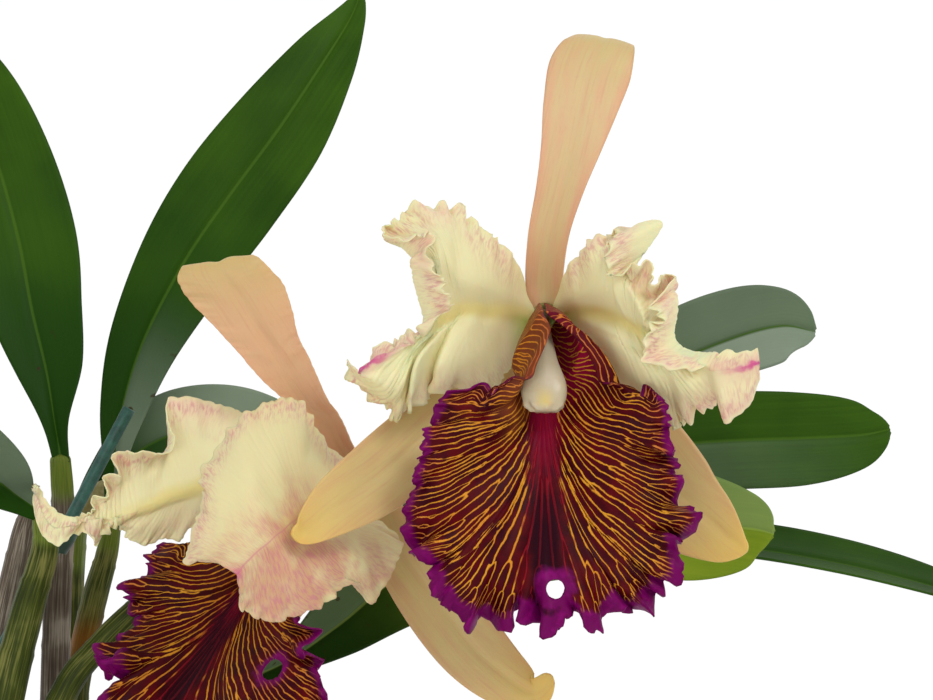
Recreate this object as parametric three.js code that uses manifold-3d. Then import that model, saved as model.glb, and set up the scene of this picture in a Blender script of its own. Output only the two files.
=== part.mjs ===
// A cattleya orchid in a plain clay pot: slender canes, strap leaves and two open blooms.
// Units are millimetres, +Z is up, and the origin is the centre of the pot's foot.
import * as THREE from 'three';
import { mergeVertices } from 'three/addons/utils/BufferGeometryUtils.js';
import Module from 'manifold-3d';

const wasm = await Module();
wasm.setup();

// ---------------------------------------------------------------- driving dimensions
const SEAT_GAP = 0.3; // clearance between two pieces that touch on the real plant
const POT = { height: 140, footRadius: 60, rimRadius: 86, wall: 7, rimHeight: 26, rimStep: 4 };
const DRAIN = { count: 4, radius: 6, ring: 32 };
const MIX = { top: 129, mound: 3 };
const CHIPS = { count: 26, length: 21, width: 13, height: 9, spread: 62, clear: 16, seed: 7 };
const LEAF_THICKNESS = 1.8;
const SEPAL_THICKNESS = 1.4;
const PETAL_THICKNESS = 1.1;
const LIP_THICKNESS = 1.1;
const STAKE_RADIUS = 2.1;

// ---------------------------------------------------------------- materials
const looks = {
  clay: [0x9a5a3c, 0.85],
  bark: [0x5b4030, 0.95],
  rhizome: [0x8a8a5e, 0.8],
  greenCane: [0x5d6b2c, 0.6],
  paperCane: [0x8c8272, 0.9],
  darkLeaf: [0x2e5014, 0.35],
  youngLeaf: [0x6f8f33, 0.4],
  sheath: [0x9a8f5a, 0.8],
  stem: [0x7d8f45, 0.55],
  stake: [0x24564c, 0.5],
  clip: [0x1f4432, 0.5],
  apricotSepal: [0xdab57c, 0.6],
  goldSepal: [0xe2bd74, 0.6],
  creamPetal: [0xeee4b0, 0.65],
  maroonLip: [0x5a0c1c, 0.55],
  ivoryColumn: [0xe4d8bc, 0.5],
};

function look(name) {
  const [color, roughness] = looks[name];
  const material = new THREE.MeshStandardMaterial({ color, roughness, metalness: 0 });
  material.name = name;
  return material;
}

// ---------------------------------------------------------------- helpers
const vector = (list) => new THREE.Vector3(list[0], list[1], list[2]);

// A small repeatable random source, giving numbers from 0 to 1.
function randomSource(seed) {
  let state = seed;
  return () => {
    state = (state * 1664525 + 1013904223) % 4294967296;
    return state / 4294967296;
  };
}

// A smooth path through evenly spaced rows of numbers, read at u from 0 to 1.
function track(rows, u) {
  const last = rows.length - 1;
  const place = Math.min(Math.max(u, 0), 1) * last;
  const index = Math.min(Math.floor(place), last - 1);
  const t = place - index;
  return rows[0].map((_, k) => {
    const b = rows[index][k];
    const c = rows[index + 1][k];
    const a = index > 0 ? rows[index - 1][k] : 2 * b - c;
    const d = index + 2 <= last ? rows[index + 2][k] : 2 * c - b;
    const square = t * t;
    const linear = (c - a) * t + (2 * a - 5 * b + 4 * c - d) * square;
    return 0.5 * (2 * b + linear + (3 * b - 3 * c + d - a) * square * t);
  });
}

// The frame at u along a path: the point, the travel direction, the right side and the face.
function frameAt(rows, u, facing, twist) {
  const step = 0.01;
  const point = vector(track(rows, u));
  const ahead = vector(track(rows, Math.min(u + step, 1)));
  const behind = vector(track(rows, Math.max(u - step, 0)));
  const forward = ahead.sub(behind).normalize();
  const right = new THREE.Vector3().crossVectors(forward, facing).normalize();
  right.applyAxisAngle(forward, THREE.MathUtils.degToRad(twist));
  const face = new THREE.Vector3().crossVectors(right, forward);
  return { point, forward, right, face };
}

// A closed mesh from a list of points and a list of index triples, with its faces outward.
function closedMesh(points, triples) {
  let volume = 0;
  for (const [a, b, c] of triples) {
    volume += points[a].dot(new THREE.Vector3().crossVectors(points[b], points[c]));
  }
  const ordered = volume < 0 ? triples.map(([a, b, c]) => [a, c, b]) : triples;
  const geometry = new THREE.BufferGeometry();
  geometry.setAttribute('position', new THREE.Float32BufferAttribute(
    points.flatMap((p) => [p.x, p.y, p.z]), 3));
  geometry.setIndex(ordered.flat());
  geometry.computeVertexNormals();
  return geometry;
}

// A thin sheet made solid: the grid of points is pushed out to both sides along its normals.
function thickSheet(grid, thickness) {
  const rows = grid.length;
  const columns = grid[0].length;
  const top = [];
  const bottom = [];
  for (let i = 0; i < rows; i += 1) {
    for (let j = 0; j < columns; j += 1) {
      const along = grid[Math.min(i + 1, rows - 1)][j].clone().sub(grid[Math.max(i - 1, 0)][j]);
      const across = grid[i][Math.min(j + 1, columns - 1)].clone().sub(grid[i][Math.max(j - 1, 0)]);
      const normal = across.cross(along).normalize().multiplyScalar(thickness / 2);
      top.push(grid[i][j].clone().add(normal));
      bottom.push(grid[i][j].clone().sub(normal));
    }
  }
  const under = rows * columns;
  const triples = [];
  for (let i = 0; i < rows - 1; i += 1) {
    for (let j = 0; j < columns - 1; j += 1) {
      const a = i * columns + j;
      const b = a + 1;
      const c = a + columns + 1;
      const d = a + columns;
      triples.push([a, b, c], [a, c, d]);
      triples.push([under + a, under + c, under + b], [under + a, under + d, under + c]);
    }
  }
  const rim = [];
  for (let j = 0; j < columns - 1; j += 1) rim.push(j);
  for (let i = 0; i < rows - 1; i += 1) rim.push(i * columns + columns - 1);
  for (let j = columns - 1; j > 0; j -= 1) rim.push((rows - 1) * columns + j);
  for (let i = rows - 1; i > 0; i -= 1) rim.push(i * columns);
  rim.forEach((a, k) => {
    const b = rim[(k + 1) % rim.length];
    triples.push([b, a, under + a], [b, under + a, under + b]);
  });
  return closedMesh(top.concat(bottom), triples);
}

// Distance across and height above the midrib for a half that bends through an angle as it
// goes out: an arc of length width * part.
function bentHalf(width, part, degrees) {
  const angle = THREE.MathUtils.degToRad(degrees);
  if (Math.abs(angle) < 1e-3) return [width * part, 0];
  return [
    (width * Math.sin(angle * part)) / angle,
    (width * (1 - Math.cos(angle * part))) / angle,
  ];
}

// A leaf, sepal or petal. Each station: x, y, z, half width left, half width right, twist,
// bend of the left half, bend of the right half (degrees, toward the face).
function blade(stations, facing, options) {
  const { lengthSteps, widthSteps, thickness } = options;
  const face = vector(facing);
  const grid = [];
  for (let i = 0; i <= lengthSteps; i += 1) {
    const u = i / lengthSteps;
    const row = track(stations, u);
    const frame = frameAt(stations, u, face, row[5]);
    const line = [];
    for (let j = 0; j <= widthSteps; j += 1) {
      const v = (2 * j) / widthSteps - 1;
      const part = Math.abs(v);
      const isRight = v > 0;
      const [out, lift] = bentHalf(isRight ? row[4] : row[3], part, isRight ? row[7] : row[6]);
      line.push(frame.point.clone()
        .addScaledVector(frame.right, Math.sign(v) * out)
        .addScaledVector(frame.face, lift));
    }
    grid.push(line);
  }
  return thickSheet(grid, thickness);
}

// A petal or sepal that folds over, from rows of points that run from one margin over the midrib
// to the other. The last row, where they meet at the tip, is left off.
function foldedSheet(rows, thickness) {
  return thickSheet(rows.slice(0, -1).map((row) => row.map(vector)), thickness);
}

// A rounded limb with flat ends. Each station: x, y, z, half width, half depth.
function limb(stations, facing, { sides, steps, grow = 0, ridges = 0, ridgeHeight = 0 }) {
  const face = vector(facing);
  const points = [];
  for (let i = 0; i <= steps; i += 1) {
    const u = i / steps;
    const row = track(stations, u);
    const frame = frameAt(stations, u, face, 0);
    if (i === 0) frame.point.addScaledVector(frame.forward, -grow);
    if (i === steps) frame.point.addScaledVector(frame.forward, grow);
    for (let k = 0; k < sides; k += 1) {
      const angle = (2 * Math.PI * k) / sides;
      const swell = 1 + ridgeHeight * Math.cos(ridges * angle);
      points.push(frame.point.clone()
        .addScaledVector(frame.right, Math.cos(angle) * (row[3] * swell + grow))
        .addScaledVector(frame.face, Math.sin(angle) * (row[4] * swell + grow)));
    }
  }
  const triples = [];
  for (let i = 0; i < steps; i += 1) {
    for (let k = 0; k < sides; k += 1) {
      const a = i * sides + k;
      const b = i * sides + ((k + 1) % sides);
      triples.push([a, b, b + sides], [a, b + sides, a + sides]);
    }
  }
  const end = steps * sides;
  for (let k = 1; k < sides - 1; k += 1) {
    triples.push([0, k + 1, k], [end, end + k, end + k + 1]);
  }
  return closedMesh(points, triples);
}

// A turned shape about the upright axis; its profile closes on itself or starts and ends on
// the axis.
function turned(profile, segments) {
  const outline = profile.map(([radius, height]) => new THREE.Vector2(radius, height));
  const geometry = new THREE.LatheGeometry(outline, segments).rotateX(Math.PI / 2);
  geometry.deleteAttribute('normal');
  geometry.deleteAttribute('uv');
  const merged = mergeVertices(geometry, 1e-4);
  const position = merged.getAttribute('position');
  const points = [];
  for (let i = 0; i < position.count; i += 1) {
    points.push(new THREE.Vector3().fromBufferAttribute(position, i));
  }
  const triples = [];
  const index = merged.getIndex().array;
  for (let i = 0; i < index.length; i += 3) {
    const [a, b, c] = [index[i], index[i + 1], index[i + 2]];
    if (a !== b && b !== c && c !== a) triples.push([a, b, c]);
  }
  return closedMesh(points, triples);
}

// ---------------------------------------------------------------- joins and cuts
function solidOf(geometry) {
  const bare = new THREE.BufferGeometry();
  bare.setAttribute('position', geometry.getAttribute('position').clone());
  if (geometry.getIndex()) bare.setIndex(geometry.getIndex().clone());
  const merged = mergeVertices(bare, 1e-4);
  return new wasm.Manifold(new wasm.Mesh({
    numProp: 3,
    vertProperties: new Float32Array(merged.getAttribute('position').array),
    triVerts: new Uint32Array(merged.getIndex().array),
  }));
}

// The largest single body of a solid, as a three.js geometry.
function geometryOf(solid) {
  const bodies = solid.decompose();
  bodies.sort((a, b) => b.volume() - a.volume());
  const mesh = bodies[0].getMesh();
  const geometry = new THREE.BufferGeometry();
  geometry.setAttribute('position', new THREE.Float32BufferAttribute(mesh.vertProperties, 3));
  geometry.setIndex(new THREE.Uint32BufferAttribute(mesh.triVerts, 1));
  geometry.computeVertexNormals();
  return geometry;
}

function joined(geometries) {
  return geometries.map(solidOf).reduce((sum, next) => sum.add(next));
}

function without(geometry, solids) {
  return geometryOf(solids.reduce((left, cut) => left.subtract(cut), solidOf(geometry)));
}

// ---------------------------------------------------------------- the plant's stations
const CAMERA_SIDE = [0, -1, 0]; // the side the blooms look toward

// Canes, from the rhizome up: x, y, z, half width, half depth.
const canes = {
  pseudobulb_1: { look: 'paperCane', stations: [
    [-2, 16, 131, 5, 5], [-2, 17, 165, 6.2, 6.2], [-2, 16, 208, 5, 5],
    [-1, 15, 242, 4.6, 4.6], [1, 14, 270, 4, 4], [0.1, 13.9, 290.4, 3.4, 3.2]] },
  pseudobulb_2: { look: 'greenCane', stations: [
    [-25, -24, 131, 5.5, 5.5], [-19, -22, 172, 7.2, 7], [-11, -18, 214, 6, 5.8],
    [-4, -16, 243, 5.2, 5], [1, -14.6, 261, 4.4, 4.2], [0.6, -14, 272, 3.6, 3.2]] },
  pseudobulb_3: { look: 'paperCane', stations: [
    [-38, 6, 131, 5, 5], [-30, 7, 178, 5.8, 5.8], [-18, 6, 230, 4.6, 4.6],
    [-12, 6, 258, 3.9, 3.9], [-9, 5, 270, 3, 3], [-6, 3, 275, 1.8, 1.8]] },
  pseudobulb_4: { look: 'greenCane', stations: [
    [-6, 40, 131, 5, 5], [-4, 40, 168, 5.8, 5.8], [1, 38, 210, 4.6, 4.6],
    [7, 36, 238, 4.4, 4.4], [11.5, 35.2, 254, 3.8, 3.8], [13.9, 35, 266.4, 2.9, 2.9]] },
  pseudobulb_5: { look: 'greenCane', stations: [
    [2, 62, 131, 5, 5], [-3, 64, 166, 6, 6], [-7, 64, 204, 4.8, 5],
    [-6, 63, 238, 4.4, 5], [-3.8, 62, 265.2, 4, 7]] },
  pseudobulb_6: { look: 'greenCane', stations: [
    [-14, -8, 131, 5, 5], [-8, -8, 172, 5.8, 5.8], [5, -8, 213, 4.6, 4.6],
    [17, -8, 230, 4, 4], [31, -8.2, 243.6, 3.6, 3.6], [47.8, -8.4, 256.8, 2.8, 2.8]] },
  pseudobulb_7: { look: 'paperCane', stations: [
    [37, -14, 131, 5, 5], [44, -12, 168, 6, 6], [53, -9, 200, 4.6, 4.6],
    [60, -7, 214, 3.4, 3.4], [68.5, -5.3, 220.4, 2.5, 2.5]] },
  pseudobulb_8: { look: 'greenCane', stations: [
    [30, 42, 131, 5, 5], [36, 43, 166, 6, 6], [45, 45, 203, 4.6, 4.6],
    [53, 45, 228, 4, 4], [61.6, 44.8, 250, 3.1, 3.1]] },
  pseudobulb_9: { look: 'paperCane', stations: [
    [54, 16, 131, 5, 5], [57, 17, 166, 6, 6], [63, 18, 194, 4.6, 4.6],
    [72.5, 20, 209.4, 3.8, 3.8], [78, 20, 217, 3.4, 3.4], [84.6, 20, 225.6, 2.6, 2.6]] },
};

// Leaves, from the cane to the tip: x, y, z, left, right, twist, bend left, bend right.
const leaves = {
  leaf_1: { face: [0.15, -1, 0.1], look: 'darkLeaf', stations: [
    [0, 14, 291, 2.8, 2.8, 0, 60, 60], [-2, 16, 300, 4.3, 5, 0, 50, 50],
    [-6, 21, 318, 10, 13, 0, 30, 30], [-12, 26, 339, 14.5, 17.5, 0, 22, 22],
    [-17, 30, 361, 17.5, 19.7, 0, 18, 18], [-24, 33, 385, 18, 19, 0, 16, 16],
    [-33, 37, 409, 15.5, 16, 0, 16, 16], [-41, 40, 427, 9.7, 10.3, 0, 16, 16],
    [-46, 42, 438, 2.2, 2.2, 0, 12, 12]] },
  leaf_2: { face: [-0.15, -1, 0.1], look: 'darkLeaf', stations: [
    [-0.6, -14.8, 274, 2.8, 2.8, 0, 40, 40], [-6, -21, 279, 6, 6.5, 0, 30, 30],
    [-11, -32, 285, 12, 12, 0, 20, 20], [-20, -47, 291, 17, 17, 0, 15, 15],
    [-31, -62, 297, 19, 19, 0, 12, 12], [-48, -76, 299, 17, 17, 0, 12, 12],
    [-66, -88, 297, 12, 12, 0, 12, 12], [-79, -96, 293, 3, 3, 0, 8, 8]] },
  leaf_3: { face: [0.1, -1, 0.1], look: 'darkLeaf', stations: [
    [14, 35, 267, 2.6, 2.6, 0, 60, 60], [14, 37, 284, 3.9, 4.2, 0, 50, 50],
    [16, 40, 304, 7.6, 9, 0, 35, 35], [23, 43, 328, 12, 13.2, 0, 25, 25],
    [37, 46, 356, 16.2, 17.4, 0, 20, 20], [52, 50, 379, 18.4, 18.9, 0, 18, 18],
    [69, 54, 403, 17, 17.6, 0, 16, 16], [84, 60, 427, 12.1, 12.1, 0, 20, 20],
    [93, 66, 443, 6.4, 6, 0, 24, 24], [97, 72, 454, 1.6, 1.6, 0, 20, 20]] },
  leaf_4: { face: [0, -1, 0.25], look: 'darkLeaf', stations: [
    [-3, 65, 267, 2.8, 2.8, 0, 40, 40], [5, 67, 279, 6.6, 7.9, 0, 30, 30],
    [16, 70, 288, 12.2, 13.7, 0, 22, 22], [31, 74, 295, 16, 16.7, 0, 10, 10],
    [51, 76, 296, 16, 16.7, 0, 10, 10], [71, 77, 290, 12.6, 13.1, 0, 14, 14],
    [84, 77, 282, 6.4, 6.5, 0, 14, 14], [90, 76, 276, 1.8, 1.8, 0, 10, 10]] },
  leaf_5: { face: [0, -1, 0.2], look: 'darkLeaf', stations: [
    [63, 45, 252, 2.8, 2.8, 0, 40, 40], [87, 50, 260, 7, 7, 0, 30, 30],
    [122, 58, 274, 12, 12, 0, 22, 22], [161, 62, 296, 15, 15, 0, 20, 20],
    [197, 65, 315, 17, 14.6, 0, 20, 20], [227, 66, 328, 18, 14.6, 0, 20, 20],
    [247, 66, 333.5, 14.4, 13.4, 0, 20, 20], [260, 66, 331.5, 4, 4, 0, 14, 14]] },
  leaf_6: { face: [0, -1, 0.1], look: 'darkLeaf', stations: [
    [49, -8, 258, 2.6, 2.6, 0, 40, 40], [74, 4, 264, 7.2, 7.2, 0, 30, 30],
    [106, 17, 273, 11.6, 12.5, 0, 20, 20], [146, 24, 283, 15, 15.3, 0, 16, 16],
    [186, 28, 291, 16.8, 16.3, 0, 14, 14], [222, 31, 294, 16.8, 16.8, 0, 12, 12],
    [250, 32, 295, 15.5, 16.2, 0, 12, 12], [269, 32, 296, 11.6, 11.6, 0, 10, 10],
    [279.5, 32, 298, 3.4, 3.4, 0, 6, 6]] },
  leaf_7: { face: [0, -1, 0.1], look: 'youngLeaf', stations: [
    [69, -5, 221, 2.4, 2.4, 0, 40, 40], [78, -4, 225, 5.2, 5.2, 0, 35, 35],
    [94, 0, 236, 11.1, 11.1, 0, 26, 26], [118, 6, 254, 18, 18, 0, 16, 16],
    [156, 10, 267, 19.1, 19.1, 0, 12, 12], [189, 12, 269, 19.2, 19.2, 0, 10, 10],
    [212, 12, 267, 17.6, 18.3, 0, 10, 10], [229, 10, 266, 11.5, 12.9, 0, 8, 8],
    [236, 8, 264.5, 3.2, 3.2, 0, 4, 4]] },
  leaf_8: { face: [0, -0.35, 1], look: 'darkLeaf', stations: [
    [85.2, 20, 226.2, 2.5, 2.5, 0, 50, 50], [111, 27, 242, 6, 6, 0, 46, 46],
    [146, 34, 254, 11, 11, 0, 40, 40], [187, 38, 259, 14, 14, 0, 34, 34],
    [228, 38, 257, 15, 15, 0, 30, 30], [262, 35, 252, 14.5, 14.5, 0, 26, 26],
    [292, 31, 245, 11.5, 11.5, 0, 22, 22], [310, 28, 239, 6.5, 6.5, 0, 18, 18],
    [318, 26, 236, 1.8, 1.8, 0, 14, 14]] },
};

// ---------------------------------------------------------------- blooms
// Each bloom's frame: the point where its parts meet, and the side that it looks toward.
const blooms = {
  bloom1: {
    centre: [158.6, -50, 335.5],
    facing: [0, -1, 0],
    lipFrame: {
      origin: [157.2, -50, 335.5], right: [1, 0, 0], up: [0, 0, 1], sway: [0, 0], reach: 1,
    },
    pieces: {
      dorsal_sepal: { face: [0, -1, 0.8], look: 'apricotSepal', stations: [
        [158.6, -45, 335, 2.6, 2.6, 0, 0, 0], [158.2, -48, 344, 5.4, 5.4, 0, 20, 20],
        [159.4, -57, 358, 6.3, 6.3, 0, 30, 30], [162.4, -63, 371.4, 7.2, 7.2, 0, 26, 26],
        [165.4, -67, 383.7, 8.9, 8.9, 0, 16, 16], [168, -69.5, 395.8, 11, 11, 0, 0, 0],
        [170.8, -70.5, 406.5, 12.4, 12.2, 0, -10, -10], [174, -68, 414, 10.6, 10.4, 0, -14, -14],
        [175.8, -61, 416.6, 8, 8, 0, -6, -6], [176.8, -54, 414, 3.4, 3.4, 0, 0, 0]] },
      sepal_left: { face: [0, -1, 0], look: 'goldSepal', stations: [
        [157.6, -45, 335, 2.2, 2.2, 0, 0, 0], [151, -46, 327, 4, 6, 0, 20, 20],
        [139, -51, 315, 8.6, 9, 0, 26, 26], [124, -58, 301, 11, 10.7, 0, 22, 22],
        [110.3, -69, 289, 11, 11, 0, 14, 14], [98.5, -82, 281, 8.6, 8.6, 0, 8, 8],
        [90.6, -92, 275, 4.6, 4.6, 0, 4, 4], [86.8, -96, 274, 1.4, 1.4, 0, 0, 0]] },
      sepal_right: { face: [0, -1, 0], look: 'goldSepal', stations: [
        [159.6, -45, 335, 2.2, 2.2, 0, 0, 0], [165, -46, 327, 6, 4, 0, 20, 20],
        [173, -48, 313, 9.6, 9, 0, 26, 26], [185.5, -51, 298, 13, 12.5, 0, 20, 20],
        [197, -54, 283, 13, 14.5, 0, 12, 12], [206.5, -57, 275, 9, 13.5, 0, 8, 8],
        [213, -60, 269, 5, 8.5, 0, 4, 4], [217.5, -62, 265.8, 1.4, 1.8, 0, 0, 0]] },
      petal_left: { look: 'creamPetal', rows: [
        [[153, -50, 340.5], [154.5, -50, 338.5], [155.5, -49, 336.5], [157, -48, 334],
         [157, -49, 332], [157, -50, 330.5], [157.5, -50, 328.5]],
        [[152, -53, 346.5], [151, -54, 343.5], [150.5, -55, 340], [150.5, -54, 336],
         [150, -53, 332.5], [150.5, -51, 328.5], [151.5, -48, 324.5]],
        [[149, -57, 352.5], [147, -60, 347], [146, -62, 341.5], [145.5, -60, 336.5],
         [145, -60, 331.5], [145.5, -58, 325.5], [148, -52, 319.5]],
        [[144, -60, 357.5], [142.5, -65, 350.5], [141.5, -68, 343.5], [141, -64, 336.5],
         [140, -67, 331], [140, -68, 323.5], [143.5, -58, 314.5]],
        [[138.5, -62, 361.5], [137, -69, 354], [137, -73, 345], [137.5, -68, 337],
         [135.5, -73, 331], [133, -76, 322], [136.5, -66, 312.5]],
        [[133.5, -62, 367], [132.5, -70, 358.5], [132.5, -76, 346.5], [133.5, -71, 336.5],
         [131, -76, 330.5], [127.5, -80, 321.5], [125.5, -72, 313]],
        [[128.5, -64, 368], [129, -72, 361], [130.5, -78, 350], [131.5, -73, 336],
         [129.5, -75, 330.5], [126, -75, 322], [124.5, -66, 312.5]],
        [[123.5, -66, 367], [125.5, -72, 362], [128.5, -79, 353.5], [129.5, -75, 335],
         [127, -78, 329.5], [121, -84, 321.5], [118.5, -76, 307]],
        [[117, -68, 365], [121.5, -72, 360.5], [127, -80, 354], [127.5, -77, 334],
         [124.5, -77, 328.5], [120.5, -77, 320], [119, -68, 313]],
        [[112.5, -73, 361], [114.5, -72, 358.5], [125.5, -80, 352.5], [126.5, -78, 333.5],
         [123, -78, 327], [119.5, -77, 319.5], [117.5, -68, 310]],
        [[112, -80, 357.5], [112.5, -75, 356.5], [125, -80, 351], [126, -78, 332.5],
         [121.5, -79, 326], [118.5, -78, 317.5], [116.5, -68, 306.5]],
        [[119.5, -86, 356.5], [116, -77, 354.5], [124.5, -80, 350], [125.5, -79, 332.5],
         [121, -79, 325], [117.5, -79, 316], [115, -67, 304.5]],
        [[126.5, -87, 356.5], [120.5, -80, 351], [124.5, -80, 348.5], [125, -79, 332],
         [120, -80, 324.5], [117, -80, 315], [114, -66, 305]],
        [[124.5, -85, 351.5], [119.5, -81, 350], [125, -81, 346], [125, -79, 332],
         [119.5, -80, 324], [116, -80, 314], [113, -66, 305.5]],
        [[127, -89, 346], [120, -81, 346], [127, -82, 342], [124.5, -79, 332],
         [118.5, -81, 323.5], [115, -80, 313.5], [112, -66, 306.5]],
        [[129.5, -90, 342], [121, -81, 341.5], [128, -82, 338], [124, -79, 331.5],
         [118, -81, 322.5], [114, -80, 313.5], [111, -66, 307]],
        [[131, -89, 338], [122.5, -81, 336], [126.5, -82, 334.5], [123, -80, 331],
         [116.5, -82, 322], [113, -81, 313.5], [109, -66, 308.5]],
        [[128.5, -86, 335.5], [123, -81, 332], [124.5, -81, 332], [122, -81, 330],
         [115.5, -82, 321.5], [112, -82, 314], [107.5, -66, 310.5]],
        [[121, -80, 330], [120.5, -81, 329.5], [120, -82, 328.5], [118.5, -82, 327],
         [113.5, -83, 321], [110.5, -83, 315], [105, -67, 313]],
        [[115.5, -79, 328.5], [115.5, -82, 327], [114.5, -83, 325], [113.5, -84, 324],
         [111, -85, 320], [109, -84, 315.5], [103, -68, 316]],
        [[110.5, -79, 326.5], [110, -82, 324.5], [109.5, -85, 322.5], [109, -86, 321.5],
         [108, -86, 319], [107, -85, 317], [101, -69, 319]],
        [[105, -84, 319], [105, -84, 318.5], [105, -84, 318.5], [105, -84, 318.5],
         [105, -84, 318.5], [105, -84, 318], [100, -70, 322]],
      ] },
      petal_right: { look: 'creamPetal', rows: [
        [[160.5, -50, 337.5], [160, -49, 336.5], [159, -49, 336], [159, -48, 335],
         [159, -49, 334], [160, -49, 333], [160.5, -50, 332]],
        [[162.5, -51, 342], [163, -53, 340], [164, -54, 338], [165, -52, 336],
         [165.5, -53, 333.5], [167, -52, 331], [168, -49, 328]],
        [[164.5, -57, 348.5], [166, -61, 344.5], [167, -63, 340.5], [168, -60, 336],
         [169.5, -61, 332.5], [171, -60, 327.5], [173.5, -54, 318.5]],
        [[167.5, -60, 353], [169.5, -66, 348], [171, -69, 342], [172.5, -64, 336],
         [173.5, -67, 331], [175, -67, 324.5], [178, -58, 311.5]],
        [[171.5, -62, 356.5], [172.5, -70, 350.5], [174.5, -74, 343.5], [176, -68, 335],
         [177, -72, 329.5], [178.5, -73, 322.5], [182, -62, 309.5]],
        [[175.5, -64, 358.5], [175.5, -71, 352.5], [177, -76, 344.5], [178.5, -72, 334],
         [179.5, -75, 328], [181.5, -77, 321.5], [185, -64, 307.5]],
        [[178, -70, 359], [183.5, -68, 360], [177, -77, 347], [180.5, -74, 333],
         [182, -77, 327], [183.5, -79, 320.5], [187, -65, 306]],
        [[175, -83, 354], [191.5, -70, 362], [177.5, -78, 345.5], [182, -75, 332],
         [183, -78, 326], [185, -80, 320], [189, -66, 305]],
        [[174.5, -85, 349.5], [188, -73, 356], [179, -79, 344.5], [183, -76, 331.5],
         [184.5, -79, 325.5], [186.5, -80, 319], [191, -67, 304]],
        [[176, -83, 346], [182, -77, 348], [180.5, -80, 343], [184, -77, 330.5],
         [185.5, -79, 324.5], [188, -80, 318], [192, -68, 303.5]],
        [[182, -84, 349], [182.5, -79, 344.5], [182.5, -81, 340], [184.5, -78, 330.5],
         [187, -79, 324], [189.5, -80, 317.5], [193.5, -68, 303]],
        [[186, -84, 349], [186, -78, 342], [184.5, -82, 336.5], [185.5, -79, 330],
         [187.5, -79, 324], [190.5, -80, 317], [194.5, -69, 303]],
        [[187.5, -83, 344.5], [188.5, -78, 339.5], [185.5, -83, 334], [186, -79, 330],
         [188.5, -80, 323.5], [191.5, -80, 316.5], [195.5, -69, 303]],
        [[192.5, -80, 346], [194, -78, 342.5], [187, -83, 333], [187, -80, 329.5],
         [189.5, -80, 323], [192, -80, 316], [196.5, -70, 303.5]],
        [[188.5, -91, 338], [195, -80, 339.5], [188, -83, 332], [188, -80, 329.5],
         [190, -81, 322.5], [193, -80, 315.5], [197, -70, 304]],
        [[188, -92, 333.5], [194.5, -80, 334.5], [188.5, -83, 330.5], [188.5, -80, 328.5],
         [191, -82, 322], [194, -81, 315], [198, -71, 304]],
        [[185.5, -93, 330.5], [194, -81, 330], [189.5, -83, 329.5], [189.5, -81, 328],
         [192, -83, 321], [195.5, -82, 313.5], [199, -72, 304.5]],
        [[184, -93, 325], [195, -82, 326.5], [191, -84, 326.5], [191, -82, 326],
         [193.5, -84, 320], [197.5, -82, 312.5], [200.5, -73, 305.5]],
        [[186.5, -92, 321.5], [198.5, -82, 324.5], [194, -85, 324], [194, -83, 323.5],
         [196, -85, 318], [199.5, -82, 311.5], [203, -74, 306.5]],
        [[193.5, -90, 319.5], [202, -83, 324], [198, -86, 322], [198, -84, 321],
         [200, -85, 316], [202.5, -82, 311], [205.5, -75, 308.5]],
        [[201, -88, 319.5], [205.5, -85, 324], [202.5, -88, 321], [202, -87, 319.5],
         [203.5, -87, 315.5], [205.5, -84, 312], [207.5, -78, 310]],
        [[207, -87, 324.5], [206, -88, 322], [205, -90, 320.5], [204.5, -91, 319],
         [205.5, -91, 315], [206.5, -90, 310], [208.5, -86, 304.5]],
        [[211.5, -87, 324.5], [211, -89, 323], [210.5, -91, 321], [210, -93, 319.5],
         [210.5, -92, 316], [211.5, -90, 312], [213, -86, 308]],
        [[215, -87, 324.5], [214.5, -89, 323.5], [214, -91, 322], [214, -92, 320.5],
         [215, -91, 317.5], [215, -90, 314.5], [216, -86, 311.5]],
        [[217, -87, 325.5], [217, -89, 323.5], [217, -90, 322.5], [217, -91, 321.5],
         [217, -90, 320], [217, -90, 318.5], [217.5, -88, 317]],
      ] },
    },
  },
  bloom2: {
    centre: [100.5, -32, 284.2],
    facing: [-0.75, -0.64, 0.05],
    lipFrame: {
      origin: [100.5, -32, 284.2], right: [0.784, -0.604, -0.13], up: [0.312, 0.208, 0.927],
      sway: [-12, -14], reach: 0.72,
    },
    pieces: {
      dorsal_sepal: { look: 'apricotSepal', rows: [
        [[103, -27.5, 284], [103.5, -27.5, 284.5], [104, -27.5, 285], [104.5, -27.5, 285],
         [105, -27.5, 285.5], [105.5, -27.5, 286], [106, -27.5, 286]],
        [[95, -29, 289.5], [95.5, -28, 290.5], [96.5, -27.5, 291.5], [97.5, -27.5, 292.5],
         [98, -27.5, 293.5], [99, -28, 294], [100, -29, 295]],
        [[87.5, -33, 301.5], [89, -32, 302], [90.5, -31, 302], [92, -31, 302.5],
         [93.5, -31, 303], [95, -32, 303.5], [96.5, -33, 303.5]],
        [[81, -36, 308], [82.5, -35, 308], [84.5, -34, 308.5], [86, -34, 309],
         [88, -34, 309.5], [90, -35, 310], [92, -36, 310.5]],
        [[72.5, -40, 316], [75, -39, 317], [77.5, -38.5, 318], [80, -38.5, 318.5],
         [82.5, -38.5, 319.5], [85, -39, 320.5], [87.5, -40, 321.5]],
        [[65.5, -43, 324.5], [68.5, -42.5, 325], [71.5, -42.5, 326], [75, -42, 327],
         [78, -42.5, 327.5], [81, -42.5, 328.5], [84, -43, 329]],
        [[58.5, -46, 332.5], [62.5, -46, 333], [66.5, -46, 334], [70.5, -46, 334.5],
         [74.5, -46, 335], [78.5, -46, 336], [82.5, -46, 336.5]],
        [[52, -48, 339.5], [56.5, -48.5, 340.5], [61, -49, 341], [66, -49, 342],
         [70.5, -49, 342.5], [75, -48.5, 343.5], [80, -48, 344.5]],
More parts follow.
